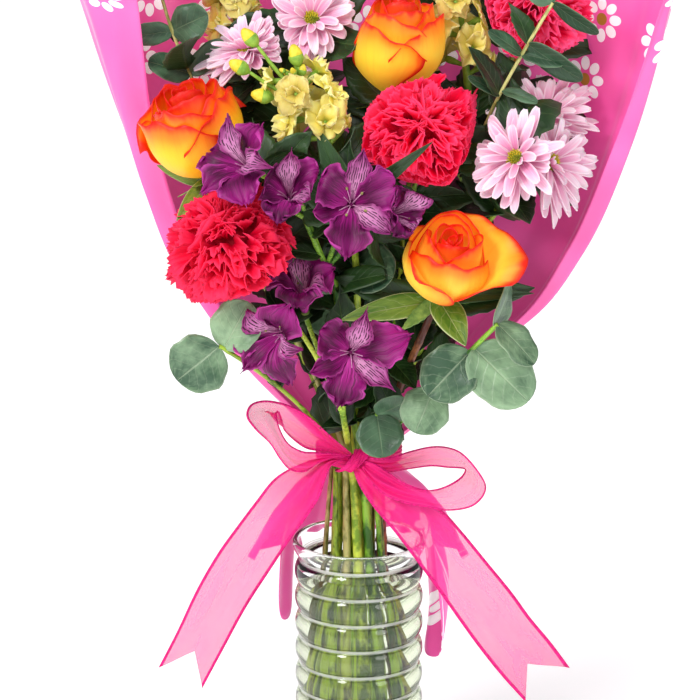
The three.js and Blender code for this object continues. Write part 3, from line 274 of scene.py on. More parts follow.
# Dark leaves behind the blooms: the far end and half the width of each
BACKING_LEAVES = {
    "stock_front_stem": [([-6, -20, 478], 15), ([-74, -8, 486], 13), ([-36, 4, 500], 15)],
    "rose_top_stem": [([-8, 0, 508], 17), ([-12, 10, 540], 16), ([78, 4, 524], 13)],
    "carnation_centre_stem": [([82, -22, 452], 13), ([10, -46, 436], 14), ([52, -36, 442], 13)],
    "mum_right_stem": [([98, -26, 420], 13), ([88, 6, 546], 12)],
    "leafy_greens": [([-26, -46, 418], 14), ([-60, -34, 412], 13), ([62, -30, 400], 13)],
    "stock_back_stem": [([-108, 16, 500], 13), ([-60, 24, 520], 15)],
    "stock_right_stem": [([40, 30, 520], 15), ([104, 20, 500], 12)],
    "lily_upper_stem": [([-28, -50, 470], 14), ([-4, -60, 448], 13)],
}

# The places of the materials on a stem's piece
CALYX = 1
DARK_LEAF = 4
LEAF_KINDS = {"round": 2, "toothed": 3, "blade": DARK_LEAF, "sepal": 5}

# Stems whose eucalyptus leaves take a darker copy of the eucalyptus colour, painted shade
SHADED = ["eucalyptus_tip_left", "eucalyptus_tip_right", "eucalyptus_front"]

# Each stem colour: its dark and its light tint
STEM_TINTS = {
    "olive": ("#3c5c10", "#9cbc34"),
    "lime": ("#749c1c", "#d2e850"),
    "green": ("#35661a", "#92c440"),
    "blue_green": ("#35661e", "#98c458"),
    "tan": ("#82823a", "#d0ca80"),
    "red_brown": ("#5e2e20", "#a8693e"),
    "maroon": ("#38141a", "#683434"),
}

# Petal layers, from the middle outwards: how many, belly and top radius, heights, width of each in
# turns, how far the lip rolls out, and where the ring starts
BUD_LAYERS = [
    (3, 7, 5, 44, 75, 0.55, 0.5, 0.1), (3, 12, 10, 42, 76, 0.48, 1, 0.45), (3, 18, 15, 40, 74, 0.44, 2, 0.8),
    (3, 25, 20, 37, 70, 0.43, 4, 0.0), (3, 31, 25, 33, 66, 0.46, 7, 0.62),
]
OPEN_LAYERS = [
    (2, 5, 3, 34, 56, 0.6, 0.4, 0.1), (3, 9, 6, 33, 58, 0.5, 0.8, 0.3), (3, 14, 10, 32, 59, 0.46, 1.5, 0.75),
    (3, 20, 16, 31, 60, 0.44, 2.5, 0.92), (2, 27, 20, 27, 57, 0.5, 4.5, 0.75),
    (2, 29, 31, 27, 57, 0.54, 9.5, 0.03),
]

# Rings of petals: how many, how long, how far they rise and how wide
MUM_LAYERS = [(17, 1.07, -0.06, 8.2), (15, 1.02, 0.14, 8.0), (12, 0.92, 0.38, 7.4), (9, 0.64, 0.8, 6.2)]

# Rings of fans: how many and how far they lean out
FAN_RINGS = [(3, 0.1), (5, 0.36), (7, 0.62), (9, 0.86), (11, 1.1), (12, 1.34), (11, 1.58)]

# Florets on a disc, and the turn from one floret to the next
DISC_FLORETS = 64
GOLDEN_ANGLE = 2.39996

# Stock: a floret's two rings of petals, as how many, how unevenly set, the least size and spread of one,
# and how much more each may have. Then the buds past the spike.
STOCK_FLORETS = 10
STOCK_PETALS = [(5, 0.5, 0.85, 0.35, 1.05, 0.6), (4, 0.8, 0.5, 0.3, 0.5, 0.5)]
BUDS = {"stock_front": [[-72, -55, 564], [-79, -58, 545], [-64, -60, 526], [-42, -55, 552]]}

# How far each floret opens, where it isn't all the way
LILY_OPEN = {"lily_upper": 0.85, "lily_right": 0.88, "lily_bud": 0.8, "lily_low": 0.9, "lily_left": 0.9}

# Cups under the blooms: the radius at the top, the radius at the foot, and the height
CUPS = {"rose": (7, 3.6, 8), "carnation": (6, 3, 22), "mum": (6.4, 2.2, 5), "lily": (2.8, 1.8, 7)}

# What the innermost petals of a rose add to their drawn tone
HEART_TONE = 3.4

# Each rose: its layers, its tints from the base to the rim, and how far the red reaches in from the edge
ROSES = {
    "rose_left": (BUD_LAYERS, ("#ffc424", "#ffae1c", "#ff5c10", "#d8140c"), 0.14),
    "rose_top": (BUD_LAYERS, ("#ffd23c", "#ffc630", "#ff7016", "#e01c10"), 0.09),
    "rose_front": (OPEN_LAYERS, ("#ffd248", "#ffb02c", "#ff6814", "#e21a10"), 0.11),
}

# Each carnation: its tints, from the foot of a petal to its edge
CARNATIONS = {
    "carnation_centre": ("#a80024", "#f6063f", "#ff3e6c"),
    "carnation_left": ("#94001c", "#de0034", "#f62f58"),
    "carnation_top": ("#9c0028", "#ec0448", "#ff5488"),
}

# Ribbon: the near edge and the far edge of each loop and tail, from the knot outwards and back
RIBBON = {
    "left_loop": (
        [[-4, -38, 272], [-18, -44, 286], [-36, -46, 303], [-52, -46, 311], [-66, -50, 314], [-74, -55, 312],
         [-76, -60, 306], [-70, -64, 298], [-60, -64, 288], [-53, -62, 276], [-46, -58, 267], [-36, -54, 265],
         [-28, -50, 270], [-18, -44, 273], [-6, -40, 272]],
        [[-5, -36, 268], [-19, -38, 274], [-35, -38, 276], [-44, -38, 282], [-51, -38, 290], [-53, -39, 298],
         [-55, -41, 304], [-56, -46, 303], [-54, -54, 295], [-48, -56, 285], [-38, -54, 279], [-31, -52, 278],
         [-22, -48, 276], [-14, -44, 274], [-5, -38, 268]], None),
    "right_loop": (
        [[1, -38, 270], [18, -42, 270], [35, -44, 276], [50, -46, 280], [60, -48, 280], [69, -50, 277],
         [80, -54, 266], [86, -60, 256], [84, -64, 250], [77, -66, 244], [61, -66, 241], [45, -64, 243],
         [32, -60, 244], [18, -54, 248], [9, -46, 254], [1, -40, 266]],
        [[2, -36, 265], [18, -38, 260], [34, -38, 262], [50, -38, 264], [61, -38, 263], [68, -39, 263],
         [72, -41, 263], [72, -46, 262], [67, -54, 259], [54, -58, 254], [43, -60, 254], [29, -56, 258],
         [21, -50, 262], [14, -46, 266], [8, -42, 268], [-1, -38, 268]], None),
    "left_tail": (
        [[-5, -38, 270], [-28, -44, 271], [-40, -48, 268], [-50, -50, 264], [-59, -52, 258], [-70, -54, 244],
         [-81, -55, 229], [-96, -57, 208], [-111, -59, 182], [-125, -61, 152], [-138, -62, 126]],
        [[-4, -36, 266], [-13, -40, 268], [-19, -44, 266], [-23, -47, 257], [-27, -49, 245], [-36, -51, 231],
         [-47, -53, 216], [-61, -56, 195], [-77, -59, 170], [-93, -61, 140], [-108, -62, 111]],
        [-113, -62, 138]),
    "right_tail": (
        [[-2, -38, 270], [17, -44, 259], [36, -48, 249], [58, -52, 235], [70, -53, 222], [88, -55, 200],
         [105, -57, 179], [118, -59, 161], [132, -61, 144], [145, -62, 126]],
        [[-5, -36, 265], [-1, -42, 254], [8, -47, 240], [24, -50, 221], [36, -52, 205], [52, -54, 183],
         [68, -57, 160], [83, -59, 139], [99, -61, 119], [115, -62, 101]], [116, -62, 129]),
}
KNOT = np.array([-4.0, -35, 267])
BAND_RADIUS = 28.4
BAND_LOW = 258
BAND_HIGH = 270


def unit(v):
    v = np.asarray(v, float)
    return v / np.linalg.norm(v, axis=-1, keepdims=True)


def smoothstep(low, high, x):
    """0 under low, 1 over high, and smooth between."""
    t = np.clip((x - low) / (high - low), 0, 1)
    return t * t * (3 - 2 * t)


def along(pairs, x):
    """The value at x on a line through pairs (x, value)."""
    xs, values = np.array(pairs, float).T
    return np.interp(x, xs, values)


def smooth_along(pairs, x):
    """The value at x on a smooth curve through pairs (x, value)."""
    xs, values = np.array(pairs, float).T
    slopes = np.gradient(values, xs)
    x = np.clip(x, xs[0], xs[-1])
    k = np.clip(np.searchsorted(xs, x) - 1, 0, len(xs) - 2)
    step = xs[k + 1] - xs[k]
    t = (x - xs[k]) / step
    return (
        (2 * t**3 - 3 * t**2 + 1) * values[k] + (t**3 - 2 * t**2 + t) * step * slopes[k]
        + (3 * t**2 - 2 * t**3) * values[k + 1] + (t**3 - t**2) * step * slopes[k + 1]
    )


def by_side(first, pair, z, read=along):
    """The value at the height z from the first table of a pair where first is true, or else the second."""
    return np.where(first, read(pair[0], z), read(pair[1], z))


def seeded(seed):
    """The same draw each time for the same seed."""
    state = seed

    def draw():
        nonlocal state
        state = (state * 1664525 + 1013904223) % 4294967296
        return state / 4294967296
    return draw


def curve(points, t):
    """Points at the shares t of a smooth line through the points given, the same share to each span."""
    p = np.asarray(points, float)
    p = np.vstack([2 * p[0] - p[1], p, 2 * p[-1] - p[-2]])
    spans = len(p) - 3
    t = np.clip(np.asarray(t, float), 0, 1) * spans
    k = np.minimum(t.astype(int), spans - 1)
    s = (t - k)[..., None]
    p0, p1, p2, p3 = p[k], p[k + 1], p[k + 2], p[k + 3]
    d0, d1, d2 = (
        np.sqrt(np.linalg.norm(b - a, axis=-1))[..., None] + 1e-9 for a, b in ((p0, p1), (p1, p2), (p2, p3))
    )
    m1 = ((p1 - p0) / d0 - (p2 - p0) / (d0 + d1) + (p2 - p1) / d1) * d1
    m2 = ((p2 - p1) / d1 - (p3 - p1) / (d1 + d2) + (p3 - p2) / d2) * d1
    return (
        p1 + m1 * s + (3 * (p2 - p1) - 2 * m1 - m2) * s**2 + (2 * (p1 - p2) + m1 + m2) * s**3
    )


def run_along(points):
    """How far along its line each point lies."""
    return np.concatenate([[0], np.cumsum(np.linalg.norm(np.diff(points, axis=0), axis=1))])


def spaced(points, pitch):
    """The same line with its points an even pitch apart."""
    points = np.asarray(points, float)
    run = run_along(points)
    where = np.linspace(0, run[-1], max(4, round(run[-1] / pitch)) + 1)
    return np.stack([np.interp(where, run, points[:, k]) for k in range(3)], axis=1)


def net(columns, rows):
    """Places across, from -1 to 1, in a row, and along, from 0 to 1, in a column."""
    return np.linspace(-1, 1, columns)[None, :], np.linspace(0, 1, rows)[:, None]


def ring(sides):
    """Even turns round a circle, in a row."""
    return np.linspace(0, 2 * np.pi, sides, endpoint=False)[None, :]


def polar(r, across, angle):
    """x and y of points at a distance r in one direction and a distance across beside it."""
    return r * np.cos(angle) - across * np.sin(angle), r * np.sin(angle) + across * np.cos(angle)


def normals(grid):
    """The way that a grid of points faces at each of them."""
    normal = np.cross(np.gradient(grid, axis=1), np.gradient(grid, axis=0))
    return normal / (np.linalg.norm(normal, axis=-1, keepdims=True) + 1e-9)


def turn_to(axis):
    """The smallest turn that takes +Z to the axis, as a matrix."""
    x, y, z = axis
    k = np.array([[0, 0, x], [0, 0, y], [-x, -y, 0]])
    return np.eye(3) + k + k @ k / (1 + z)


class Head:
    """One bloom's room: an ellipsoid, cut by a flat wall where it would meet its neighbour."""

    def __init__(self, at, facing, radius, half):
        self.middle = np.array(at, float)
        self.axis = unit(facing)
        self.radius = radius
        self.half = half
        self.turn = turn_to(self.axis)
        self.base = self.middle - self.axis * half
        self.walls = []

    def reach(self, way):
        c = way @ self.axis
        return math.sqrt(self.radius**2 * (1 - c * c) + self.half**2 * c * c)

    def wall_off(self, other):
        way = other.middle - self.middle
        apart = np.linalg.norm(way)
        way = way / apart
        mine = self.reach(way)
        theirs = other.reach(way)
        if mine + theirs > apart - WALL_GAP:
            self.walls.append((way, apart * mine / (mine + theirs) - WALL_CLEAR))

    def place(self, x, y, z):
        """Points given from the bloom's own base, its axis up, placed and held back from its walls."""
        own = np.stack(np.broadcast_arrays(x, y, z), -1).astype(float)
        arm = own @ self.turn.T + (self.base - self.middle)
        for way, limit in self.walls:
            out = arm @ way
            soft = WALL_SOFT * limit
            room = limit - soft
            held = soft + room * (1 - np.exp(-np.maximum(out - soft, 0) / room))
            arm = arm * np.where(out > soft, held / np.maximum(out, 1e-9), 1)[..., None]
        return arm + self.middle


heads = {name: Head(*facts) for name, facts in HEADS.items()}
for one in heads.values():
    for two in heads.values():
        if one is not two:
            one.wall_off(two)
for name, head in heads.items():
    head.foot = head.place(0, 0, -STOCK_FOOT_DROP if name.startswith("stock") else -FOOT_DROP)


def of_kind(kind):
    """The names of the blooms of one kind."""
    return [name for name in HEADS if name.startswith(kind)]


def outside(p, own, gap):
    """Points moved out of every bloom but their own."""
    for name, head in heads.items():
        if name in own:
            continue
        arm = p - head.middle
        rise = arm @ head.axis
        flat = np.linalg.norm(arm - rise[..., None] * head.axis, axis=-1)
        level = np.sqrt((flat / (head.radius + gap)) ** 2 + (rise / (head.half + gap)) ** 2)
        inside = (level < 1)[..., None]
        p = np.where(inside, head.middle + arm / np.maximum(level, 0.05)[..., None], p)
    return p


def inside_wrap(p, gap):
    """Points kept inside the wrap where the wrap stands round them."""
    x, y, z = p[..., 0], p[..., 1], p[..., 2]
    wide = by_side(x < 0, WRAP_WIDE, z) - gap
    deep = by_side(y > 0, WRAP_DEEP, z) - gap
    level = np.hypot(x / wide, y / deep)
    degrees = np.abs(np.degrees(np.arctan2(x / wide, y / deep)))
    held = (z >= TIE_Z) & (level > 1) & (degrees < by_side(x < 0, WRAP_EDGE, z) + 6)
    share = np.where(held, 1 / np.maximum(level, 1e-9), 1)
    return np.stack([x * share, y * share, z], -1)


# Stems

class Stem:
    """One stem: a line to its bloom, a line along its own route, or a trunk with a branch to each bloom."""

    def __init__(self, name, width, colour, blooms, fork=None, route=None):
        self.name = name
        self.width = width
        self.colour = colour
        self.blooms = blooms
        self.fork = fork and np.array(fork, float)
        self.route = route and np.array(route, float)
        self.lines = []
        if fork:
            self.goal = self.fork
        elif route:
            self.goal = self.route[-1]
        else:
            self.goal = heads[blooms[0]].foot


class Line:
    """Points along the middle of a stem or a branch."""

    def __init__(self, stem, points, width):
        self.stem = stem
        self.points = points
        self.width = width


def tie_places(count):
    """Places for the stems at the tie: the middle of a close six-sided packing."""
    places = [
        (STEM_PITCH * (i + j / 2), STEM_PITCH * j * math.sqrt(3) / 2)
        for i in range(-4, 5) for j in range(-4, 5)
    ]
    places.sort(key=lambda p: (round(math.hypot(*p), 6), p[0], p[1]))
    return np.array(places[:count])


def choose_places(stems):
    """Each stem takes the place on the side that its solid leans to."""
    places = tie_places(len(stems))
    rose_goal = Head(*ROSE_FRONT_SOLID).place(0, 0, -FOOT_DROP)
    goals = [rose_goal if stem.name == "rose_front_stem" else stem.goal for stem in stems]
    leans = np.array([goal[:2] * LEAN_RUN / (goal[2] - TIE_Z + LEAN_EASE) for goal in goals])
    cost = ((leans[:, None] - places[None]) ** 2).sum(-1)
    order = list(range(len(stems)))
    better = True
    while better:
        better = False
        for i in range(len(order)):
            for j in range(i + 1, len(order)):
                now = cost[i, order[i]] + cost[j, order[j]]
                then = cost[i, order[j]] + cost[j, order[i]]
                if then < now - 1e-9:
                    order[i], order[j] = order[j], order[i]
                    better = True
    for stem, k in zip(stems, order):
        stem.place = places[k]


def below_tie(place, z):
    """Below the tie the stems spread and turn together."""
    t = ((TIE_Z - z) / (TIE_Z - STEM_FOOT_Z)) ** STEM_EASE
    x = 1 - t + t * STEM_SPREAD * math.cos(STEM_TWIST)
    y = t * STEM_SPREAD * math.sin(STEM_TWIST)
    return np.array([place[0] * x - place[1] * y, place[0] * y + place[1] * x, z])


def bloom_line(start, lead, head):
    """A line that leaves the start along lead and meets the bloom along its axis."""
    away = np.linalg.norm(head.foot - start)
    one = start + lead * away * 0.35
    two = head.foot - head.axis * away * 0.3
    t = np.linspace(0, 1, 200)[:, None]
    bend = (1 - t) ** 3 * start + 3 * t * (1 - t) ** 2 * one + 3 * t * t * (1 - t) * two + t**3 * head.foot
    return spaced(bend, LINE_PITCH)


def smooth_line(points):
    """An evenly spaced line through the points."""
    return spaced(curve(points, np.linspace(0, 1, 400)), LINE_PITCH)


def push_apart(one, two, need):
    """Moves two lines apart where they are nearer than they need to be. Their ends stay where they are."""
    p, q = one.points, two.points
    if (np.maximum(p.min(0), q.min(0)) - need > np.minimum(p.max(0), q.max(0)) + need).any():
        return
    gaps = ((p[1:, None] - q[None, 1:]) ** 2).sum(-1)
    for i, j in np.argwhere(gaps < (need + 0.7) ** 2) + 1:
        gap = p[i] - q[j]
        apart = math.sqrt(gap @ gap)
        if apart >= need:
            continue
        gap = gap * (0.5 * (need - apart) / max(apart, 0.01))
        if i < len(p) - 1:
            p[i] += gap
        if j < len(q) - 1:
            q[j] -= gap


def settle(lines):
    """Stems push each other, the blooms and the wrap aside until they run clear."""
    pairs = [
        (one, two) for k, one in enumerate(lines) for two in lines[k + 1:] if one.stem is not two.stem
    ]
    for _ in range(SETTLE_ROUNDS):
        for one, two in pairs:
            push_apart(one, two, one.width + two.width + STEM_GAP)
        for line in lines:
            p = line.points
            last = len(p) - 1
            for k in range(1, last - 1):
                p[k] += (0.5 * (p[k - 1] + p[k + 1]) - p[k]) * SETTLE_EASE
            p[3:last - 1] = inside_wrap(p[3:last - 1], line.width + WRAP_GAP)
            p[1:last - 2] = outside(p[1:last - 2], line.stem.blooms, line.width + BLOOM_GAP)


def route_stems():
    """Every stem with its lines, settled among the blooms."""
    stems = [Stem(*facts) for facts in STEMS]
    choose_places(stems)
    for stem in stems:
        tie = np.array([*stem.place, TIE_Z], float)
        lead = unit(unit(stem.goal - tie) + [0, 0, 0.8])
        rise = tie + lead * TIE_RISE
        if stem.route is not None:
            stem.lines.append(Line(stem, smooth_line([tie, rise, *stem.route]), stem.width))
        elif stem.fork is None:
            stem.lines.append(Line(stem, bloom_line(tie, lead, heads[stem.blooms[0]]), stem.width))
        else:
            half_way = (tie + stem.fork) / 2 + lead * TIE_RISE / 2
            trunk = smooth_line([tie, rise, half_way, stem.fork])
            stem.lines.append(Line(stem, trunk, stem.width))
            on = unit(stem.fork - trunk[-3])
            for bloom in stem.blooms:
                branch = bloom_line(stem.fork, on, heads[bloom])
                stem.lines.append(Line(stem, branch, stem.width * BRANCH_SHARE))
    settle([line for stem in stems for line in stem.lines])
    return stems


# Meshes

class Form:
    """Blades and round bodies gathered in one mesh. Each point keeps its place on its own petal or leaf:
    across from -1 to 1, along from 0 to 1, a tone drawn for the petal, and its side."""

    def __init__(self):
        self.points, self.flat, self.side = [], [], []
        self.quads, self.threes, self.quad_kinds, self.three_kinds = [], [], [], []
        self.count = 0

    def put(self, points, flat, side, quads, threes, kind, flat_faces=0):
        self.points.append(points.reshape(-1, 3))
        self.flat.append(flat.reshape(-1, 3))
        self.side.append(np.broadcast_to(side, len(self.points[-1])))
        self.quads.append(quads + self.count)
        kinds = np.full((len(quads), 2), (kind, 0))
        kinds[len(quads) - flat_faces:, 1] = 1
        self.quad_kinds.append(kinds)
        self.threes.append(threes + self.count)
        self.three_kinds.append(np.full(len(threes), kind))
        self.count += len(self.points[-1])

    def blade(self, middle, thick=0.4, tone=0.5, kind=0, across=None, ahead=None):
        """A thin closed blade round a grid of points, rows along and columns across."""
        rows, columns = middle.shape[:2]
        lift = normals(middle) * np.broadcast_to(thick, (rows, columns))[..., None] / 2
        u, v = net(columns, rows)
        u = u if across is None else across
        v = v if ahead is None else ahead
        flat = np.stack(np.broadcast_arrays(u, v, tone), -1)
        flat = np.broadcast_to(flat, (rows, columns, 3))
        back = rows * columns
        index = np.arange(back).reshape(rows, columns)
        corners = [index[:-1, :-1], index[:-1, 1:], index[1:, 1:], index[1:, :-1]]
        front = np.stack(corners, -1).reshape(-1, 4)
        behind = front[:, ::-1] + back
        loop = np.concatenate([index[0, :-1], index[:-1, -1], index[-1, :0:-1], index[:0:-1, 0]])
        on = np.roll(loop, -1)
        rim = np.stack([on, loop, loop + back, on + back], -1)
        self.put(
            np.concatenate([middle + lift, middle - lift]), np.concatenate([flat, flat]),
            np.repeat([1.0, 0.0], back), np.concatenate([front, behind, rim]), np.zeros((0, 3), int),
            kind, flat_faces=len(rim),
        )

    def round(self, rings, tone=0.5, kind=0, ahead=None):
        """A closed round body from rings of points, rows along and one column for each side."""
        rows, columns = rings.shape[:2]
        index = np.arange(rows * columns).reshape(rows, columns)
        on = np.roll(index, -1, axis=1)
        quads = np.stack([index[:-1], on[:-1], on[1:], index[1:]], -1).reshape(-1, 4)
        ends = np.stack([rings[0].mean(0), rings[-1].mean(0)])
        low, high = rows * columns, rows * columns + 1
        threes = np.concatenate([
            np.stack([on[0], index[0], np.full(columns, low)], -1),
            np.stack([index[-1], on[-1], np.full(columns, high)], -1),
        ])
        u = np.linspace(-1, 1, columns, endpoint=False)[None, :]
        v = np.linspace(0, 1, rows)[:, None] if ahead is None else ahead
        flat = np.stack(np.broadcast_arrays(u, v, tone), -1).reshape(-1, 3)
        flat = np.vstack([flat, [0, 0, tone], [0, 1, tone]])
        self.put(np.vstack([rings.reshape(-1, 3), ends]), flat, 0.0, quads, threes, kind)

    def core(self, head, r, z, sides, **settings):
        """A round body about a bloom's own axis, of radius r at the heights z."""
        self.round(head.place(*polar(r, 0, ring(sides)), z), **settings)

    def make(self, name, looks, nodes):
        quads, threes = np.concatenate(self.quads), np.concatenate(self.threes)
        kinds = np.concatenate(self.quad_kinds)
        corners = np.concatenate([quads.ravel(), threes.ravel()])
        totals = np.concatenate([np.full(len(quads), 4), np.full(len(threes), 3)])
        smooth = np.concatenate([kinds[:, 1] == 0, np.ones(len(threes), bool)])
        mesh = bpy.data.meshes.new(name)
        mesh.vertices.add(self.count)
        mesh.vertices.foreach_set("co", (np.concatenate(self.points) * MM).ravel())
        mesh.loops.add(len(corners))
        mesh.loops.foreach_set("vertex_index", corners)
        mesh.polygons.add(len(totals))
        mesh.polygons.foreach_set("loop_start", np.cumsum(totals) - totals)
        mesh.polygons.foreach_set("loop_total", totals)
        mesh.polygons.foreach_set("material_index", np.concatenate([kinds[:, 0], *self.three_kinds]))
        mesh.polygons.foreach_set("use_smooth", smooth)
        mesh.update(calc_edges=True)
        flat = mesh.attributes.new("flat", "FLOAT_VECTOR", "POINT")
        flat.data.foreach_set("vector", np.concatenate(self.flat).astype(np.float32).ravel())
        side = mesh.attributes.new("side", "FLOAT", "POINT")
        side.data.foreach_set("value", np.concatenate(self.side).astype(np.float32))
        for look in looks:
            mesh.materials.append(look)
        piece = add_object(name, mesh)
        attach(piece, "root")
        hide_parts(*nodes)
        return piece


def add_object(name, data):
    piece = bpy.data.objects.new(name, data)
    bpy.context.scene.collection.objects.link(piece)
    return piece


def tube_rings(points, radius, sides):
    """Rings of points round a line, each ring square to it. radius is one number or one for each."""
    points = np.asarray(points, float)
    ahead = unit(np.gradient(points, axis=0))
    side = np.cross(ahead[0], [0.37, 0.21, -0.9])
    sides_out = []
    for way in ahead:
        side = unit(side - way * (side @ way))
        sides_out.append(side)
    one = np.array(sides_out)[:, None]
    two = np.cross(ahead, one[:, 0])[:, None]
    angle = ring(sides)[..., None]
    radius = np.broadcast_to(radius, len(points))[:, None, None]
    return points[:, None] + (np.cos(angle) * one + np.sin(angle) * two) * radius


# Looks

def tint(code):
    """A colour code as linear red, green and blue, with full alpha."""
    values = [int(code[k:k + 2], 16) / 255 for k in (1, 3, 5)]
    return (*(v / 12.92 if v <= 0.04045 else ((v + 0.055) / 1.055) ** 2.4 for v in values), 1.0)


class Value:
    """A socket in a look's node tree. A sum on it adds a maths node."""

    def __init__(self, look, socket):
        self.look = look
        self.socket = socket

    def __add__(self, other):
        return self.look.maths("ADD", self, other)

    def __sub__(self, other):
        return self.look.maths("SUBTRACT", self, other)

    def __rsub__(self, other):
        return self.look.maths("SUBTRACT", other, self)

    def __mul__(self, other):
        return self.look.maths("MULTIPLY", self, other)

    def __truediv__(self, other):
        return self.look.maths("DIVIDE", self, other)

    def __abs__(self):
        return self.look.maths("ABSOLUTE", self)


class Look:
    """One node material. Its methods add nodes and return their values."""

    def __init__(self, name, **finish):
        self.material = bpy.data.materials.new(name)
        self.material.use_nodes = True
        self.tree = self.material.node_tree
        self.tree.nodes.clear()
        self.shader = self.node("ShaderNodeBsdfPrincipled")
        self.tree.links.new(self.shader.outputs[0], self.node("ShaderNodeOutputMaterial").inputs[0])
        for key, value in finish.items():
            self.shader.inputs[key.replace("_", " ")].default_value = value

    def node(self, kind, **settings):
        made = self.tree.nodes.new(kind)
        for key, value in settings.items():
            setattr(made, key, value)
        return made

    def plug(self, value, socket):
        if isinstance(value, Value):
            self.tree.links.new(value.socket, socket)
        else:
            socket.default_value = tint(value) if isinstance(value, str) else value

    def feed(self, made, values, inputs=(0, 1, 2), output=0):
        """Plugs the values into a node and returns what it gives."""
        for value, k in zip(values, inputs):
            self.plug(value, made.inputs[k])
        return Value(self, made.outputs[output])

    def maths(self, how, *values):
        return self.feed(self.node("ShaderNodeMath", operation=how), values)

    def step(self, value, low, high):
        """0 where the value is under low, 1 over high, and smooth between."""
        return self.feed(self.node("ShaderNodeMapRange", interpolation_type="SMOOTHSTEP"), (value, low, high))

    def fade(self, value, low, high):
        """1 where the value is under low, 0 over high, and smooth between."""
        return 1.0 - self.step(value, low, high)

    def mix(self, share, one, two):
        return self.feed(self.node("ShaderNodeMix", data_type="RGBA"), (share, one, two), (0, 6, 7), 2)

    def ramp(self, value, *stops):
        made = self.node("ShaderNodeValToRGB")
        band = made.color_ramp
        for element, (where, code) in zip(band.elements, (stops[0], stops[-1])):
            element.position, element.color = where, tint(code)
        for where, code in stops[1:-1]:
            band.elements.new(where).color = tint(code)
        return self.feed(made, [value])

    def attribute(self, name, output):
        return Value(self, self.node("ShaderNodeAttribute", attribute_name=name).outputs[output])

    def split(self, vector):
        made = self.node("ShaderNodeSeparateXYZ")
        self.plug(vector, made.inputs[0])
        return [Value(self, socket) for socket in made.outputs]

    @cached_property
    def flat(self):
        """Across, along and tone of each point on its petal, leaf or sheet."""
        return self.split(self.attribute("flat", "Vector"))

    def place(self):
        return Value(self, self.node("ShaderNodeTexCoord").outputs["Object"])

    def height(self):
        """Millimetres above the surface that the vase stands on."""
        return self.split(self.place())[2] / MM

    def noise(self, where, scale=1.0, detail=2.0):
        made = self.node("ShaderNodeTexNoise")
        made.inputs["Scale"].default_value = scale
        made.inputs["Detail"].default_value = detail
        return self.feed(made, [where])

    def streaks(self, across, ahead, detail=2.0, spread=90.0):
        """Noise drawn out along the petal, different on each."""
        u, v, tone = self.flat
        shares = (u * across, v * ahead, tone * spread)
        return self.noise(self.feed(self.node("ShaderNodeCombineXYZ"), shares), 1.0, detail)

    def grain(self, scale, detail=2.0):
        """Even noise in space. The scale is in lumps to the metre."""
        return self.noise(self.place(), scale, detail)

    def finish(self, colour, height=None, deep=0.3, glow=0.0):
        self.plug(colour, self.shader.inputs["Base Color"])
        # glow is painted light: the surface gives out its own colour, as if lit through.
        if glow:
            self.plug(colour, self.shader.inputs["Emission Color"])
            self.plug(glow, self.shader.inputs["Emission Strength"])
        if height is not None:
            bump = self.node("ShaderNodeBump")
            bump.inputs["Distance"].default_value = deep * MM
            self.plug(height, bump.inputs["Height"])
            self.plug(Value(self, bump.outputs[0]), self.shader.inputs["Normal"])
        return self.material


def shift(value, noise, amount):
    """The value moved up and down by a noise that runs from 0 to 1."""
    return value + (noise - 0.5) * amount


def edge_distance(look, side_share):
    """How far a place is from the petal's edge, as a share of the petal."""
    u, v, _ = look.flat
    return look.maths("MINIMUM", (1.0 - abs(u)) * side_share, 1.0 - v)


def petal_look(name, rough, shine, glow_through, depth):
    """A petal's skin, with some light let through it, to a depth in millimetres."""
    return Look(name, Roughness=rough, Specular_IOR_Level=shine, Subsurface_Weight=glow_through,
                Subsurface_Scale=depth * MM)


def rose_look(name, base, body, blush, rim, reach):
    """Golden petals that warm towards a red rim. The heart's own petals, of tone over 1, are redder."""
    look = petal_look(name, 0.45, 0.3, 0.12, 6)
    _, v, tone = look.flat
    vein = look.streaks(16, 1.6, 3)
    flame = look.streaks(5, 1.2)
    edge = shift(edge_distance(look, 0.5), flame, 0.16)
    colour = look.ramp(shift(v, flame, 0.5), (0.5, base), (1.0, body))
    inside = look.attribute("side", "Fac") * look.step(v, 0.55, 1.0)
    colour = look.mix(inside * 0.8, colour, blush)
    colour = look.mix(look.fade(edge, 0.02, reach * 2.6) * 0.65, colour, blush)
    heart = look.step(tone, 1.0, 3.2) * look.step(v, 0.3, 0.9)
    colour = look.mix(heart * 0.85, colour, rim)
    colour = look.mix(look.fade(edge, 0.01, reach) * 0.97, colour, rim)
    colour = look.mix(look.step(vein, 0.5, 0.75) * 0.08, colour, rim)
    # Painted light: a glow in the petal's own colour.
    return look.finish(colour, vein, 0.2, glow=0.14)


def carnation_look(name, deep, body, light):
    """Deep at the foot of each petal, lighter outwards, with a thin pale edge along its teeth."""
    look = petal_look(name, 0.6, 0.15, 0.06, 3)
    _, v, tone = look.flat
    vein = look.streaks(22, 1.2)
    height = shift(shift(shift(v, vein, 0.3), tone, 0.35), look.streaks(3, 0.8, 1), 0.5)
    colour = look.ramp(height, (0.3, deep), (0.7, body), (1.1, light))
    colour = look.mix(look.fade(1.0 - v, 0.0, 0.06) * 0.7, colour, light)
    # Painted light: a faint glow in the petal's own colour.
    return look.finish(colour, vein, 0.25, glow=0.06)


def mum_look(name, deep, body, light):
    """Streaked along each petal, and paler at its sides."""
    look = petal_look(name, 0.5, 0.25, 0.1, 3)
    u, v, tone = look.flat
    vein = look.streaks(9, 0.8)
    height = shift(shift(v, vein, 0.7), tone, 0.3)
    colour = look.ramp(height, (0.0, deep), (0.5, body), (1.1, light))
    colour = look.mix(look.step(abs(u), 0.6, 1.0) * 0.7, colour, light)
    # Painted light: a faint glow in the petal's own colour.
    return look.finish(colour, vein, 0.35, glow=0.05)


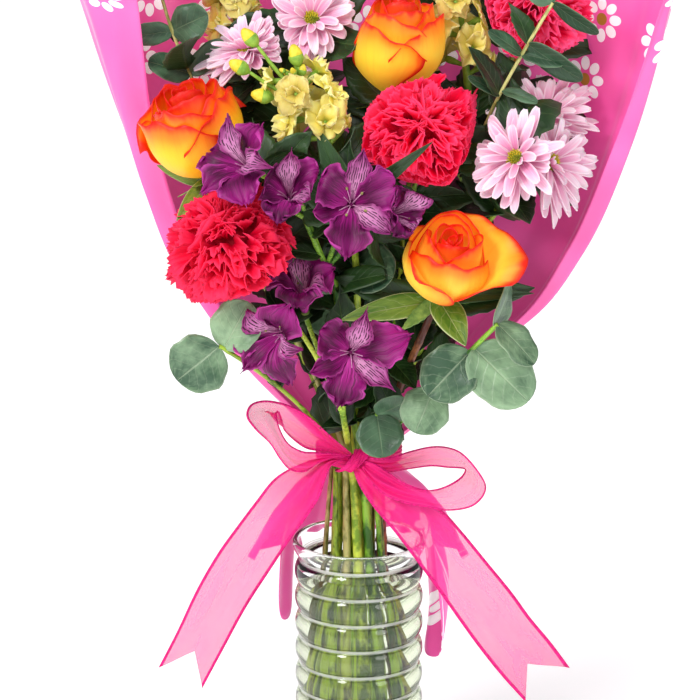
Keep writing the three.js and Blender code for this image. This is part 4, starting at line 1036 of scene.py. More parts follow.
def disc_look():
    """Yellow florets, some of them still green."""
    look = Look("disc", Roughness=0.7)
    tone = shift(look.flat[2], look.grain(900), 0.4)
    colour = look.ramp(tone, (0.1, "#7f8f12"), (0.5, "#c9bb14"), (1.0, "#e8d93a"))
    return look.finish(colour, look.grain(2500), 0.2)


def lily_look(name, body, light, deep):
    """Purple petals, darker down the middle and paler towards the throat and the edges."""
    look = petal_look(name, 0.42, 0.25, 0.04, 2)
    u, v, tone = look.flat
    vein = look.streaks(15, 1.4, 3)
    height = shift(shift(v, vein, 0.7), tone, 0.5)
    colour = look.ramp(height, (0.0, light), (0.3, body), (0.6, deep), (1.0, body))
    colour = look.mix(look.step(abs(u), 0.75, 1.0) * 0.6, colour, light)
    colour = look.mix(look.step(vein, 0.53, 0.62) * 0.6, colour, deep)
    # Painted light: a faint glow in the petal's own colour.
    return look.finish(colour, vein, 0.45, glow=0.04)


def striped_look():
    """The narrow inner petals: purple with a pale middle and dark dashes that fan out along the petal."""
    look = Look("lily_striped", Roughness=0.45, Specular_IOR_Level=0.3)
    u, v, _ = look.flat
    vein = look.streaks(13, 1.4, 3)
    ground = look.ramp(
        shift(v, vein, 0.3), (0.0, "#8c2470"), (0.25, "#dc9cc4"), (0.65, "#c070a8"), (0.95, "#8c1f6c"))
    stripe = abs(look.maths("FRACT", u * (6.5 - v * 2.0)) - 0.5)
    dash = look.fade(stripe, 0.16, 0.28) * look.step(look.streaks(6, 10, 1), 0.42, 0.5)
    reach = look.step(v, 0.1, 0.22) * look.fade(v, 0.82, 0.95)
    colour = look.mix(look.step(abs(u), 0.5, 0.9) * 0.9, ground, "#8a1e6c")
    colour = look.mix(dash * reach, colour, "#3a0628")
    # Painted light: a faint glow in the petal's own colour.
    return look.finish(colour, vein, 0.3, glow=0.04)


def stock_look():
    """Pale yellow, and a duller tan, painted shade, on the florets whose drawn tone is high."""
    look = petal_look("stock", 0.5, 0.5, 0.08, 3)
    _, v, tone = look.flat
    vein = look.streaks(14, 1.2)
    height = shift(v, vein, 0.3)
    pale_tint = look.ramp(height, (0.1, "#b6c23c"), (0.4, "#eedd58"), (0.8, "#f7ea80"), (1.0, "#f9f0a4"))
    painted_shade_tint = look.ramp(height, (0.1, "#a3933a"), (0.5, "#dbc45e"), (1.0, "#e6d488"))
    # Painted shade: florets picked by their drawn tone take the darker tan copy of the colour.
    colour = look.mix(look.step(tone, 0.62, 0.85), pale_tint, painted_shade_tint)
    # Painted light: a faint glow in the petal's own colour.
    return look.finish(colour, vein, 0.3, glow=0.05)


def plain_look(name, dark, light, scale=300, rough=0.5, deep=0.2):
    """A skin with an even, fine mottle."""
    look = Look(name, Roughness=rough)
    colour = look.ramp(look.grain(scale, 4), (0.3, dark), (0.7, light))
    return look.finish(colour, look.grain(scale * 3), deep)


def stem_look(name, dark, light):
    """Ribbed and patchy, with a faint painted glow. In the water it is painted paler and greener and glows
    more: painted light that stands in for the light through the glass.
    """
    look = petal_look(name, 0.4, 0.5, 0.05, 3)
    rib = look.streaks(2.5, 9.0, 3, spread=1.0)
    level = shift(shift(rib, look.grain(55, 1), 1.2), look.flat[2], 0.3)
    painted_light_under_water = look.fade(look.height(), WATER_TOP - 6, WATER_TOP + 4)
    painted_lit_green = look.ramp(level, (0.4, "#1a3606"), (0.62, "#c2dc38"))
    colour = look.mix(painted_light_under_water * 0.6, look.ramp(level, (0.3, dark), (0.6, light)), painted_lit_green)
    # Painted light: every stem glows faintly, and more under the water.
    return look.finish(colour, rib, 0.4, glow=painted_light_under_water * 0.18 + 0.03)


def leaf_look(name, dark, light, vein_tint, veins, rough, vein_share=0.5, edge_share=0.25, mottled=0.6):
    """A mottled leaf with a midrib and slanting veins, paler on its edge and its back."""
    look = Look(name, Roughness=rough)
    u, v, tone = look.flat
    away = abs(u)
    slant = look.maths("FRACT", shift((v - away * 0.28) * veins, look.streaks(2.5, 5), 0.7))
    thin = look.fade(abs(slant - 0.5), 0.0, 0.09)
    net = look.maths("MAXIMUM", thin * 0.35, look.fade(away, 0.01, 0.05))
    mottle = look.streaks(6, 8, 5)
    level = shift(shift(mottle * mottled, tone, 0.5), look.streaks(1.2, 1.6, 1), 0.9)
    colour = look.ramp(level, (0.05, dark), (0.6, light))
    colour = look.mix(net * vein_share, colour, vein_tint)
    colour = look.mix(look.step(away, 0.92, 1.0) * edge_share, colour, vein_tint)
    colour = look.mix((1.0 - look.attribute("side", "Fac")) * 0.3, colour, light)
    return look.finish(colour, mottle * 0.5 - net, 0.35)


def distance(look, x, y):
    """How far a place is from the point that x and y are measured from."""
    return look.maths("SQRT", x * x + y * y)


def daisy_mask(look, x, y):
    """1 in each of the dots set in a ring about a point, by folding the ring onto one dot."""
    turn = 2 * math.pi / DAISY_DOTS
    angle = look.maths("ARCTAN2", y, x)
    off = angle - look.maths("ROUND", angle / turn) * turn
    away = distance(look, x, y)
    ahead = (away * look.maths("COSINE", off) - DAISY_RING) / DAISY_DOT_LONG
    beside = away * look.maths("SINE", off) / DAISY_DOT_WIDE
    return look.fade(ahead * ahead + beside * beside, 0.85, 1.15)


def fold_number(look, x, y, across, ahead):
    """The place along one direction of the print's lattice, from -0.5 to 0.5 about each daisy."""
    share = x * across + y * ahead
    return share - look.maths("ROUND", share)


def wrap_look():
    """Satin film with daisies of white dots, printed in a band along its top and on the hem's corner."""
    look = Look("wrap", Roughness=0.3, Specular_IOR_Level=0.6, Sheen_Weight=0.3, Sheen_Roughness=0.4)
    x, y, _ = look.flat
    flat_x, flat_y = x - DAISY_AT[0], y - DAISY_AT[1]
    (ax, ay), (bx, by) = DAISY_ROW, DAISY_COLUMN
    area = ax * by - ay * bx
    one = fold_number(look, flat_x, flat_y, by / area, -bx / area)
    two = fold_number(look, flat_x, flat_y, -ay / area, ax / area)
    near_x = one * ax + two * bx
    near_y = one * ay + two * by
    middle_x, middle_y = x - near_x, y - near_y
    petals = daisy_mask(look, near_x, near_y)
    eye = look.fade(distance(look, near_x, near_y), DAISY_EYE, DAISY_EYE + 0.5)
    depth = look.step(middle_x, -215.0, -185.0) * (PRINT_RIGHT - PRINT_LEFT) + PRINT_LEFT
    hem = look.maths("GREATER_THAN", middle_y, PRINT_HEM) * look.maths("GREATER_THAN", middle_x, 0.0)
    band = look.maths("LESS_THAN", middle_y, depth) + hem
    colour = look.ramp(look.grain(14, 2), (0.3, "#ea4c9c"), (0.7, "#f468b2"))
    colour = look.mix(petals * band, colour, "#fff6fb")
    colour = look.mix(eye * band, colour, "#a9752c")
    # Painted light: the film glows all over, and more on the lower part of the sheet, for light coming
    # through it.
    return look.finish(colour, look.grain(60, 3), 0.5, glow=look.step(y, 390.0, 480.0) * 0.2 + 0.2)


def ribbon_look():
    """Sheer weave, closed along its two woven edges and denser where it gathers at the knot."""
    look = Look("ribbon", Roughness=0.55, Specular_IOR_Level=0.3)
    edge = look.step(abs(look.flat[0]), 0.885, 0.9)
    crease = look.streaks(2.5, 1.5)
    measure = look.node("ShaderNodeVectorMath", operation="DISTANCE")
    away = look.feed(measure, (look.place(), KNOT * MM), output=1)
    gather = look.fade(away, 0.008, 0.085)
    weave = look.grain(2400, 1) * 0.05 + 0.33 + crease * 0.14 + gather * 0.3
    look.plug(look.maths("MAXIMUM", weave, edge * 0.98), look.shader.inputs["Alpha"])
    beads = look.grain(700, 1)
    sheer = look.mix(gather * 0.6, look.ramp(crease, (0.3, "#f01488"), (0.7, "#fb3199")), "#ff0f7c")
    bound = look.ramp(beads, (0.35, "#cc0468"), (0.65, "#fb1a8c"))
    return look.finish(look.mix(edge, sheer, bound), beads * edge, 0.6)


def glass_look():
    """Clear glass, with a painted highlight along each groove and a painted dark line beside it, which stand
    in for the light and shade its thick curve catches.
    """
    look = Look("glass", IOR=1.48)
    look.plug(look.step(look.grain(90, 2), 0.6, 0.9) * 0.03, look.shader.inputs["Roughness"])
    height = look.height()
    turn = (height - TOP_GROOVE) / RING_PITCH
    near = abs(turn - look.maths("ROUND", turn))
    below = look.maths("LESS_THAN", height, TOP_GROOVE + 4.0)
    # Painted highlight: paler, less clear glass along each groove.
    pale = look.fade(near, 0.03, 0.085) * below * (look.grain(60, 2) * 0.9 + 0.35)
    # Painted shade: a dark line beside each groove.
    dark = look.fade(abs(near - 0.11), 0.0, 0.04) * below
    look.plug(1.0 - pale * 0.5, look.shader.inputs["Transmission Weight"])
    colour = look.ramp(look.grain(30), (0.3, "#f8faf8"), (0.7, "#fdfefd"))
    colour = look.mix(dark * 0.7, colour, "#7f8a6c")
    colour = look.mix(pale * 0.8, colour, "#f6f8f2")
    return look.finish(colour, look.grain(25, 1), 0.3)


def water_look():
    look = Look("water", Transmission_Weight=1.0, IOR=1.33, Roughness=0.0)
    return look.finish(look.ramp(look.grain(30), (0.3, "#e6eed2"), (0.7, "#f0f6e0")), look.grain(40, 1), 0.1)


# Blooms

def swell(t, full, power):
    """A round bulge along t, left open a little at both ends."""
    return np.sin(np.pi * np.clip(t * full + (1 - full) / 2, 0, 1)) ** power


def rose_petal(head, u, v, layer, inner, draw, begin):
    """One petal's sheet of points, and its tone. Petals that lean far out have a rolled lip."""
    _, belly, top, belly_z, top_z, turn, curl, _ = layer
    tall = top_z - 3 * draw()
    tone = draw() + inner
    wave = 2 * np.pi * draw()
    open_way = curl > 8
    wide_top = top + (6 * math.cos(2 * math.pi * begin) if open_way else 0)
    a, b, c = (1 - v) ** 2, 2 * v * (1 - v), v * v
    narrow = 0.4 + 0.6 * np.sin(np.pi / 2 * np.minimum(1, 1.5 * v)) - (0.32 * v**3 if open_way else 0)
    lip = np.clip((v - 0.7) / 0.3, 0, 1) ** 2
    spread = 1.2 - 0.9 * u**4 if open_way else 0.6 + 1.1 * u * u
    roll = curl * lip * (spread + 0.35 * np.sin(4 * u + wave))
    r = a * 6 + b * (2 * belly - (6 + wide_top) / 2) + c * wide_top + 1.6 * u + roll
    r = r + 0.35 * min(curl, 4) * np.sin(3.1 * u + wave) * c
    drop = (5 + 0.6 * curl) * np.abs(u) ** 2 + 5 * np.abs(u) ** 5
    drop = drop - 2.2 * np.exp(-((u / 0.12) ** 2)) * (curl > 3)
    z = a * 5 + b * (2 * belly_z - (5 + tall) / 2) + c * tall - drop * c - roll * 0.6
    z = z + c * 0.3 * min(curl, 5) * np.sin(5 * u + wave) + 0.25 * c * curl * np.sin(13 * u + 2 * wave)
    angle = 2 * np.pi * (begin + turn / 2 * u * narrow)
    return head.place(*polar(r, 0, angle), z), tone


def rose(name, layers, look):
    """Petals in layers round a closed heart, each a part of a turn, overlapping like tiles in a ring."""
    head = heads[name]
    draw = seeded(len(name) * 131 + layers[2][4])
    form = Form()
    u, v = net(23, 19)
    v = v**0.85
    for row, layer in enumerate(layers):
        count, start = layer[0], layer[-1]
        for k in range(count):
            begin = start + k / count + 0.02 * (draw() - 0.5)
            inner = HEART_TONE - row if row < 3 else 0
            sheet, tone = rose_petal(head, u, v, layer, inner, draw, begin)
            form.blade(sheet, 0.45, tone)
    t = net(1, 14)[1]
    form.core(head, 5.5 * swell(t, 0.9, 0.6), 3 + t * (layers[0][4] - 8), 20, tone=3.0, ahead=t * 0.9)
    return form.make(f"{name}_bloom", [look], [name])


def fan(head, u, v, row, count, lean, k, draw):
    """One frilled petal's sheet of points, and its tone."""
    turn = 2 * np.pi * (k + 0.4 * row + 0.5 * draw()) / count
    half = (1.5 + 0.5 * draw()) * np.pi / (count + 1)
    tone = draw()
    long = 1.05 - 0.2 * draw()
    one, two, three = (2 * np.pi * draw() for _ in range(3))
    tip = 0.35 * (draw() - 0.5)
    aside, ahead = 12 * (draw() - 0.5), 12 * (draw() - 0.5)
    fold = 0.15 * np.sin(u * 5.3 + one) + 0.1 * np.sin(u * 9.7 + two) + 0.06 * np.sin(u * 19 + three)
    frill = 0.05 * np.sin(u * 33 + one) * v**5
    teeth = 0.05 * (np.arange(u.size) % 2)
    scallop = 0.06 * np.sin(u * 3.3 + three) - 0.14 * u**4
    r = head.radius * (0.2 + (0.8 + scallop) * v - teeth * v**12) * long
    tilt = lean + fold * v**1.2 + frill + tip * v * v + 0.24 * (draw() - 0.5)
    angle = turn + u * half * (0.5 + 0.5 * v) + 0.09 * np.sin(u * 8 + two) * v
    share = 1 - 0.6 * (1 - v) ** 0.5
    x, y = polar(r * np.sin(tilt), 0, angle)
    z = 21 + r * (0.76 - 0.02 * row) * np.cos(tilt)
    return head.place(x + aside * share, y + ahead * share, z), tone


def carnation(name, look):
    """Rings of frilled fans with toothed edges, the outer ones wide open."""
    head = heads[name]
    draw = seeded(len(name) * 977 + 5)
    form = Form()
    u, v = net(45, 8)
    for row, (count, lean) in enumerate(FAN_RINGS):
        for k in range(count):
            sheet, tone = fan(head, u, v, row, count, lean, k, draw)
            form.blade(sheet, 0.35, tone)
    t = net(1, 12)[1]
    form.core(head, head.radius * 0.45 * swell(t, 0.94, 0.8), 1 + t * 38, 20, ahead=t * 0.3)
    return form.make(f"{name}_bloom", [look], [name])


def mum(name, look):
    """Rings of channelled strap petals, one above another."""
    head = heads[name]
    draw = seeded(len(name) * 389 + 11)
    form = Form()
    u, v = net(7, 10)
    outline = np.sin(np.pi * np.clip(0.14 + 0.7 * v, 0, 1)) ** 0.7 * (1 - 0.42 * v**14)
    channel = 2.1 * u * u - 0.45 * np.cos(3 * np.pi * u)
    for row, (count, length, rise, width) in enumerate(MUM_LAYERS):
        for k in range(count):
            angle = 2 * np.pi * (k + 0.37 * row + 0.75 * draw()) / count
            long = (head.radius + 2) * length * (0.7 + 0.34 * draw()) - 4
            lift = rise + 0.46 * (draw() - 0.5)
            wide = width / 2 * (0.82 + 0.36 * draw())
            curl = 0.8 * (draw() - 0.42)
            swing = 0.22 * (draw() - 0.5)
            notch = -0.05 * long * (1 - u * u) * v**10 * (k % 2)
            r = 4 + long * np.cos(lift) * (v - 0.05 * v**6 * u * u) + notch
            z = 2 + row * 1.7 + long * np.sin(lift) * v * (1.25 - 0.35 * v) + channel * outline
            z = z + curl * long * 0.3 * v**3
            x, y = polar(r, u * wide * outline, angle + swing * v)
            form.blade(head.place(x, y, z), 0.45, draw())
    t = net(1, 6)[1]
    form.core(head, 8.6 - 2 * t, 0.5 + 6 * t, 16, ahead=t * 0.1)
    return form.make(f"{name}_bloom", [look], [name])


def disc(name, look):
    """A low dome of tiny florets, set by the golden angle."""
    head = heads[name]
    form = Form()
    t = net(1, 4)[1]
    quarter = t * np.pi / 2
    for k in range(DISC_FLORETS):
        away = 6.6 * math.sqrt((k + 0.5) / DISC_FLORETS)
        cx, cy = polar(away, 0, k * GOLDEN_ANGLE)
        x, y = polar((0.5 + 0.34 * away / 6.6) * np.cos(quarter * 0.93) ** 0.7, 0, ring(6))
        z = 8.1 - 0.045 * away * away + (2.3 + 0.5 * (k % 3)) * np.sin(quarter)
        form.round(head.place(cx + x, cy + y, z), tone=(k * 0.618) % 1)
    form.core(head, 6.8 * np.cos(quarter * 0.95), 6 + 2.8 * np.sin(quarter), 20, tone=0.1)
    return form.make(f"{name}_florets", [look], [f"{name}_disc"])


def lily_petal(head, u, v, k, opened, draw):
    """One petal's sheet of points. The broad ones are ruffled."""
    broad = k % 2 == 0
    middle = 2 * np.pi * k / 6 + 0.4 + 0.3 * (draw() - 0.5)
    long = head.radius * (1.22 if broad else 1.14) * (0.9 + 0.16 * draw())
    wave = 2 * np.pi * draw()
    if broad:
        body = 0.2 + 0.8 * np.sin(np.pi / 2 * np.clip(v * 1.3, 0, 1)) ** 1.8
        outline = body * np.sqrt(np.clip(1 - (np.clip(v - 0.58, 0, 1) / 0.43) ** 2.6, 0.01, 1))
    else:
        outline = (0.2 + 0.8 * np.sin(np.pi * np.clip(v, 0, 0.95) ** 1.4)) * (1 - 0.7 * v**8)
    fringe = 0.09 * np.sin(13 * v + wave) + 0.06 * np.sin(31 * v + wave) + 0.03 * np.sin(67 * v + wave)
    half = (15.8 if broad else 9) * outline * (1 + fringe)
    tip = 0.08 * long * np.exp(-((u / 0.14) ** 2)) * v**12
    twist = 1.2 * (draw() - 0.5)
    reach = opened * (0.8 + 0.32 * draw())
    fray = 0.035 * long * np.sin(23 * u + wave) * v**8
    r = 2.5 + (long - 2.5) * v ** (1.35 + 0.4 * draw()) * reach
    r = r - 0.1 * long * np.abs(u) ** 3 * v**4 + tip + fray
    arch = np.sin(np.minimum(1, v * 1.05) * (1.3 + 0.9 * draw()))
    z = 9 + (19 if broad else 22) * arch * (1.5 - 0.5 * opened)
    z = z + (6.5 * np.abs(u) ** 1.5 - 1.2) * outline * (1.35 - 1.0 * v) + twist * u * half * v
    frill = 4.2 * np.sin(6.5 * v + wave) * u * u + 3.0 * np.sin(17 * v + wave) * np.abs(u) ** 3
    z = z + frill * np.sqrt(v) * (1 if broad else 0.5)
    z = z + 1.8 * np.sin(8 * u + wave) * v**2
    return head.place(*polar(r, u * half, middle), z)


def stamen(form, head, k, opened, draw):
    """A curved filament with its anther."""
    s = np.linspace(0, 1, 9)
    at = 2 * np.pi * k / 6 + draw()
    out = head.radius * (0.2 + 0.2 * draw()) * opened
    line = head.place(*polar(1.2 + out * s**1.6, 0, at), 9 + 17 * s * (1.1 - 0.35 * s))
    form.round(tube_rings(line, 0.45 - 0.15 * s, 6), kind=2)
    anther = line[-1] + (line[-1] - line[-2]) * np.linspace(-0.4, 1.0, 5)[:, None]
    form.round(tube_rings(anther, np.array([0.4, 0.9, 1.0, 0.7, 0.2]), 7), kind=3)


def lily(name, looks):
    """Three broad ruffled petals and three narrow ones, flaring from a funnel, with curved stamens."""
    head = heads[name]
    draw = seeded(len(name) * 71 + 3)
    form = Form()
    opened = LILY_OPEN.get(name, 1)
    u, v = net(21, 21)
    for k in range(6):
        sheet = lily_petal(head, u, v, k, opened, draw)
        form.blade(sheet, 0.4, draw(), kind=0 if k % 2 == 0 or k == 3 else 1)
    t = net(1, 8)[1]
    form.core(head, 2.2 + 2.6 * t, 0.5 + 10 * t, 14, ahead=t * 0.1)
    for k in range(6):
        stamen(form, head, k, opened, draw)
    return form.make(f"{name}_bloom", looks, [name])


def stock_petal(form, head, foot, axes, turn, size, spread, draw, tone):
    """One wavy petal of a stock floret, broad at its end."""
    u, v = net(9, 8)
    wave = 2 * np.pi * draw()
    long = size * (0.88 + 0.24 * draw())
    body = 0.18 + 0.82 * np.sin(np.pi / 2 * np.clip(v * 1.35, 0, 1)) ** 1.5
    outline = body * np.sqrt(np.clip(1 - (np.clip(v - 0.6, 0, 1) / 0.42) ** 2.5, 0.03, 1))
    lean = spread * (0.35 + 0.65 * v**0.7) + 0.22 * np.sin(4 * v + wave) * v
    run = long * v * (1 - 0.14 * np.abs(u) ** 3)
    rise = run * np.cos(lean) + (2.8 * np.sin(4.2 * u + wave) + 1.5 * u * u) * v * v
    a, b = polar(0.8 + run * np.sin(lean), u * long * 0.56 * outline, turn)
    sheet = foot + np.stack([rise, a, b], -1) @ axes
    form.blade(head.place(*np.moveaxis(sheet, -1, 0)), 0.35, tone)


def small_bud(form, root, tip, size, tone):
    """A stalk, a green cup and the yellow bud that stands out of it, its petals wrapped in a whorl."""
    way = unit(tip - root)
    bend = curve([root, (root + tip) / 2 + [0, 0, -2], tip - way * size], np.linspace(0, 1, 10))
    form.round(tube_rings(bend, np.linspace(1.6, 1.2, 10), 8), kind=1)
    t = np.linspace(0, 1, 11)
    ahead = unit(tip - bend[-2])
    line = tip + ahead * (t[:, None] * 2 - 1) * size
    ribs = 1 + 0.1 * np.cos(3 * ring(15) + 2.5 * t[:, None])
    rings = tube_rings(line, size * 0.6 * np.sin(np.pi * np.clip(t * 0.94 + 0.02, 0, 1)) ** 0.6, 15)
    form.round(line[:, None] + (rings - line[:, None]) * ribs[..., None], tone, kind=2)
    cup_line = tip + ahead * (t[:, None] * 1.1 - 1.05) * size
    rings = tube_rings(cup_line, size * 0.68 * np.sin(np.pi * np.clip(t * 0.6 + 0.02, 0, 1)) ** 0.7, 15)
    form.round(rings, tone, kind=1)


def stock(name, looks):
    """Florets of wavy petals set close round the spike, with green-cupped buds past them."""
    head = heads[name]
    draw = seeded(len(name) * 523 + 17)
    form = Form()
    long = head.half * 2
    rise = head.radius - 13
    for k in range(STOCK_FLORETS):
        turn = k * GOLDEN_ANGLE + 0.5 * draw()
        z0 = long * (0.1 + 0.78 * (k + 0.5) / STOCK_FLORETS)
        size = 17 - 4 * k / STOCK_FLORETS
        out = unit([math.cos(turn), math.sin(turn), 0.25 + 0.35 * draw()])
        side = unit([-out[1], out[0], 0])
        axes = np.array([out, side, np.cross(out, side)])
        stand = np.array([math.cos(turn) * 3, math.sin(turn) * 3, z0])
        tone = draw()
        for count, uneven, least, more, closed, loose in STOCK_PETALS:
            for petal in range(count):
                at = 2 * np.pi * petal / count + uneven * draw()
                long_by, spread = least + more * draw(), closed + loose * draw()
                stock_petal(form, head, stand + out * rise, axes, at, size * long_by, spread, draw, tone)
        neck = stand + out * np.linspace(-3, rise + 1, 6)[:, None]
        form.round(tube_rings(head.place(*neck.T), np.array([1.3, 1.5, 1.8, 2.4, 2.6, 2]), 8), kind=1)
    spine = head.place(0, 0, np.linspace(0, long * 0.95, 16))
    form.round(tube_rings(spine, np.linspace(2.8, 1.5, 16), 10), kind=1)
    for k in range(5):
        root = head.place(0, 0, long * (0.8 + 0.03 * k))
        tip = head.place(*polar(6, 0, k * 2.4), long * (0.93 + 0.02 * k))
        small_bud(form, root, tip, 4.2 - 0.4 * k, draw())
    for at in BUDS.get(name, []):
        small_bud(form, head.place(0, 0, long * 0.6), np.array(at, float), 7.5, draw())
    return form.make(f"{name}_spike", looks, [name])


# Leaves and stem pieces

def nearest_on(stem, p):
    """The point of a stem's lines that is nearest to a place."""
    every = np.concatenate([line.points for line in stem.lines])
    return every[((every - p) ** 2).sum(-1).argmin()]


def leaf_grid(start, end, face, wide, shape, draw, rows=19, columns=9):
    """A leaf's sheet of points: round and waxy, long and narrow, or toothed with a folded midrib."""
    way = np.array(end, float) - start
    side = unit(np.cross(way, unit(face)))
    lift = unit(np.cross(side, way))
    rounded = shape == "round"
    if rounded:
        rows, columns = 15, 11
    u, s = net(columns, rows)
    wave = 2 * np.pi * draw()
    if rounded:
        v = (1 - np.cos(np.pi * s)) / 2
        outline = np.maximum(np.sin(np.pi * s) ** 0.92, 0.05)
        outline = outline * (1 + 0.035 * np.sin(5 * np.pi * v + wave) * np.sign(u))
        fold, droop = 0.1, 0.1
        ripple = (0.07 * np.sin(3 * np.pi * v + wave) + 0.04 * np.sin(9 * v * u + wave)) * np.abs(u) * outline
    else:
        v = s
        peak = 0.62 if shape == "blade" else 0.8
        outline = np.maximum(np.sin(np.pi * np.clip(v**peak * 0.95 + 0.05, 0, 1)) ** 0.8, 0.03)
        if shape == "toothed":
            outline = outline * (1 - 0.1 * (np.arange(rows)[:, None] % 2))
        fold, droop = 0.24, 0.16
        ripple = 0.07 * np.sin(8 * v + wave) * u * outline
    bend = np.abs(u) * wide * fold * outline + ripple * wide - np.linalg.norm(way) * droop * v * v
    sheet = start + way * v[..., None] + side * (u * wide * outline)[..., None] + lift * bend[..., None]
    return sheet, v


def dark_leaf(form, start, end, face, wide, shape, draw):
    """A leaf in the shade between the blooms, held clear of them and inside the wrap."""
    sheet, v = leaf_grid(start, end, face, wide, shape, draw, rows=13, columns=7)
    held = inside_wrap(outside(sheet, [], LEAF_BLOOM_GAP), LEAF_WRAP_GAP)
    form.blade(held, 0.5, draw(), kind=DARK_LEAF, ahead=v)


def fill_leaves(form, stem, draw):
    """Dark leaves up each stem, on alternate sides, that close the spaces under the blooms."""
    narrow = stem.name.startswith(("carnation", "lily", "stock"))
    shape, slim = ("blade", 0.17) if narrow else ("toothed", 0.26)
    for k, line in enumerate(stem.lines):
        points = line.points
        run = run_along(points)
        at = 26 if k == 0 else 8
        way = 2 * np.pi * draw()
        while at < run[-1] - 14:
            i = int(np.searchsorted(run, at))
            ahead = unit(points[min(i + 1, len(points) - 1)] - points[i - 1])
            one = unit(np.cross(ahead, [0.3, -0.2, 0.9]))
            out = math.cos(way) * one + math.sin(way) * np.cross(ahead, one)
            length = 34 + 22 * draw()
            end = points[i] + out * length * 0.8 + ahead * length * (0.35 + 0.4 * draw())
            wide = slim * length * (0.9 + 0.3 * draw())
            room = FILL_ROOM * by_side(end[0] < 0, WRAP_WIDE, end[2])
            if end[2] > FILL_LOW and abs(end[0]) < room and end[1] > -0.2 * end[2]:
                dark_leaf(form, points[i], end, ahead * 0.9 + [0, -0.6, 0.1], wide, shape, draw)
            way += 2.4
            at += 15 + 8 * draw()


def backing(form, stem, draw):
    """Broad dark leaves that close the depth behind the blooms."""
    for end, wide in BACKING_LEAVES.get(stem.name, []):
        end = np.array(end, float)
        start = nearest_on(stem, end - [0, 0, 18])
        reach = end - start
        start = start + reach * max(0, 1 - BACKING_LONG / np.linalg.norm(reach))
        dark_leaf(form, start, end, [0, -0.9, 0.3], wide, "toothed", draw)


def collar(form, head, draw):
    """Dark leaves that spread behind a bloom, from below its base."""
    start = head.base - head.axis * COLLAR_DROP
    for k in range(COLLAR_LEAVES):
        turn = 2 * np.pi * (k + 0.6 * draw()) / COLLAR_LEAVES
        side = head.turn @ [math.cos(turn), math.sin(turn), 0]
        length = head.radius + 10 + 10 * draw()
        end = start + side * length + head.axis * head.half * (0.3 + 0.5 * draw())
        wide = 11 + 4 * draw()
        if side[1] >= COLLAR_FRONT and end[2] >= COLLAR_LOW and end[0] >= COLLAR_LEFT:
            dark_leaf(form, start, end, -side * 0.2 + [0, -0.8, 0.3], wide, "toothed", draw)


def sepals(form, head, draw):
    """Five narrow, uneven sepals that droop under a rose."""
    u, v = net(7, 14)
    for k in range(5):
        long = 34 * (0.9 + 0.25 * draw())
        half = 5.5 * (0.5 + 0.5 * np.sin(np.pi * np.clip(v * 1.1, 0, 1))) * (1 - v**3) + 0.15
        half = half * (1 + 0.12 * np.sin(40 * v + k))
        x, y = polar(2 + (long - 2) * v, u * half, 2 * np.pi * (k + 0.2) / 5)
        z = -4 - 8 * v**1.5 + 1.8 * np.sin(3 * v + k) + 0.8 * u * u
        form.blade(head.place(x, y, z), 0.5, draw(), kind=CALYX)


def cup(form, head, top_radius, foot_radius, height):
    """The green cup under a bloom."""
    t = net(1, 9)[1]
    r = (foot_radius + (top_radius - foot_radius) * t**0.8) * (1 + 0.12 * np.sin(np.pi * t))
    form.core(head, r * np.clip(t * 12 + 0.4, 0, 1), -height - 0.5 + height * t, 14, kind=CALYX)


def stem_radius(points, width, draw):
    """Thickness along a stem, with a low ring at each node, and thicker towards its foot."""
    run = run_along(points)
    pitch = 36 + 14 * draw()
    phase = (run / pitch + draw()) % 1
    node = np.exp(-(((phase - 0.5) * pitch / 2.2) ** 2))
    foot = np.clip((TIE_Z - points[:, 2]) / (TIE_Z - STEM_FOOT_Z), 0, 1)
    return width * (1.02 - 0.12 * run / run[-1] + 0.2 * node + 1.05 * foot**0.7)


def stem_piece(stem, looks):
    """One stem with its branches, cups, sepals and leaves."""
    form = Form()
    draw = seeded(len(stem.name) * 37 + int(stem.width * 10))
    for k, line in enumerate(stem.lines):
        points = line.points
        if k == 0:
            low = [below_tie(stem.place, z) for z in np.arange(STEM_FOOT_Z, TIE_Z - 3, LINE_PITCH)]
            points = np.vstack([low, points])
        rings = tube_rings(points, stem_radius(points, line.width, draw), TUBE_SIDES)
        form.round(rings, tone=draw(), ahead=net(1, len(points))[1] * 8)
    for bloom in stem.blooms:
        head = heads[bloom]
        collar(form, head, draw)
        sort = bloom.split("_")[0]
        if sort in CUPS:
            cup(form, head, *CUPS[sort])
        if sort == "rose":
            sepals(form, head, draw)
    for start, end, face, wide, shape in LEAVES.get(stem.name, []):
        sheet, v = leaf_grid(nearest_on(stem, start), end, face, wide, shape, draw)
        form.blade(inside_wrap(sheet, 4), 0.5, draw(), kind=LEAF_KINDS[shape], ahead=v)
    fill_leaves(form, stem, draw)
    backing(form, stem, draw)
    slot = {"eucalyptus": "eucalyptus", "leafy": "leaf"}.get(stem.name.split("_")[0], "stem")
    return form.make(f"{stem.name}_grown", looks, [stem.name])


# Vase, water, wrap and ribbon

def lathe(name, profile, look, nodes):
    """A round body about the vase's axis, from a profile of radii and heights."""
    form = Form()
    r, z = np.hsplit(np.array(profile, float), 2)
    form.round(np.stack(np.broadcast_arrays(*polar(r, 0, ring(LATHE_SIDES)), z), -1))
    return form.make(name, [look], nodes)


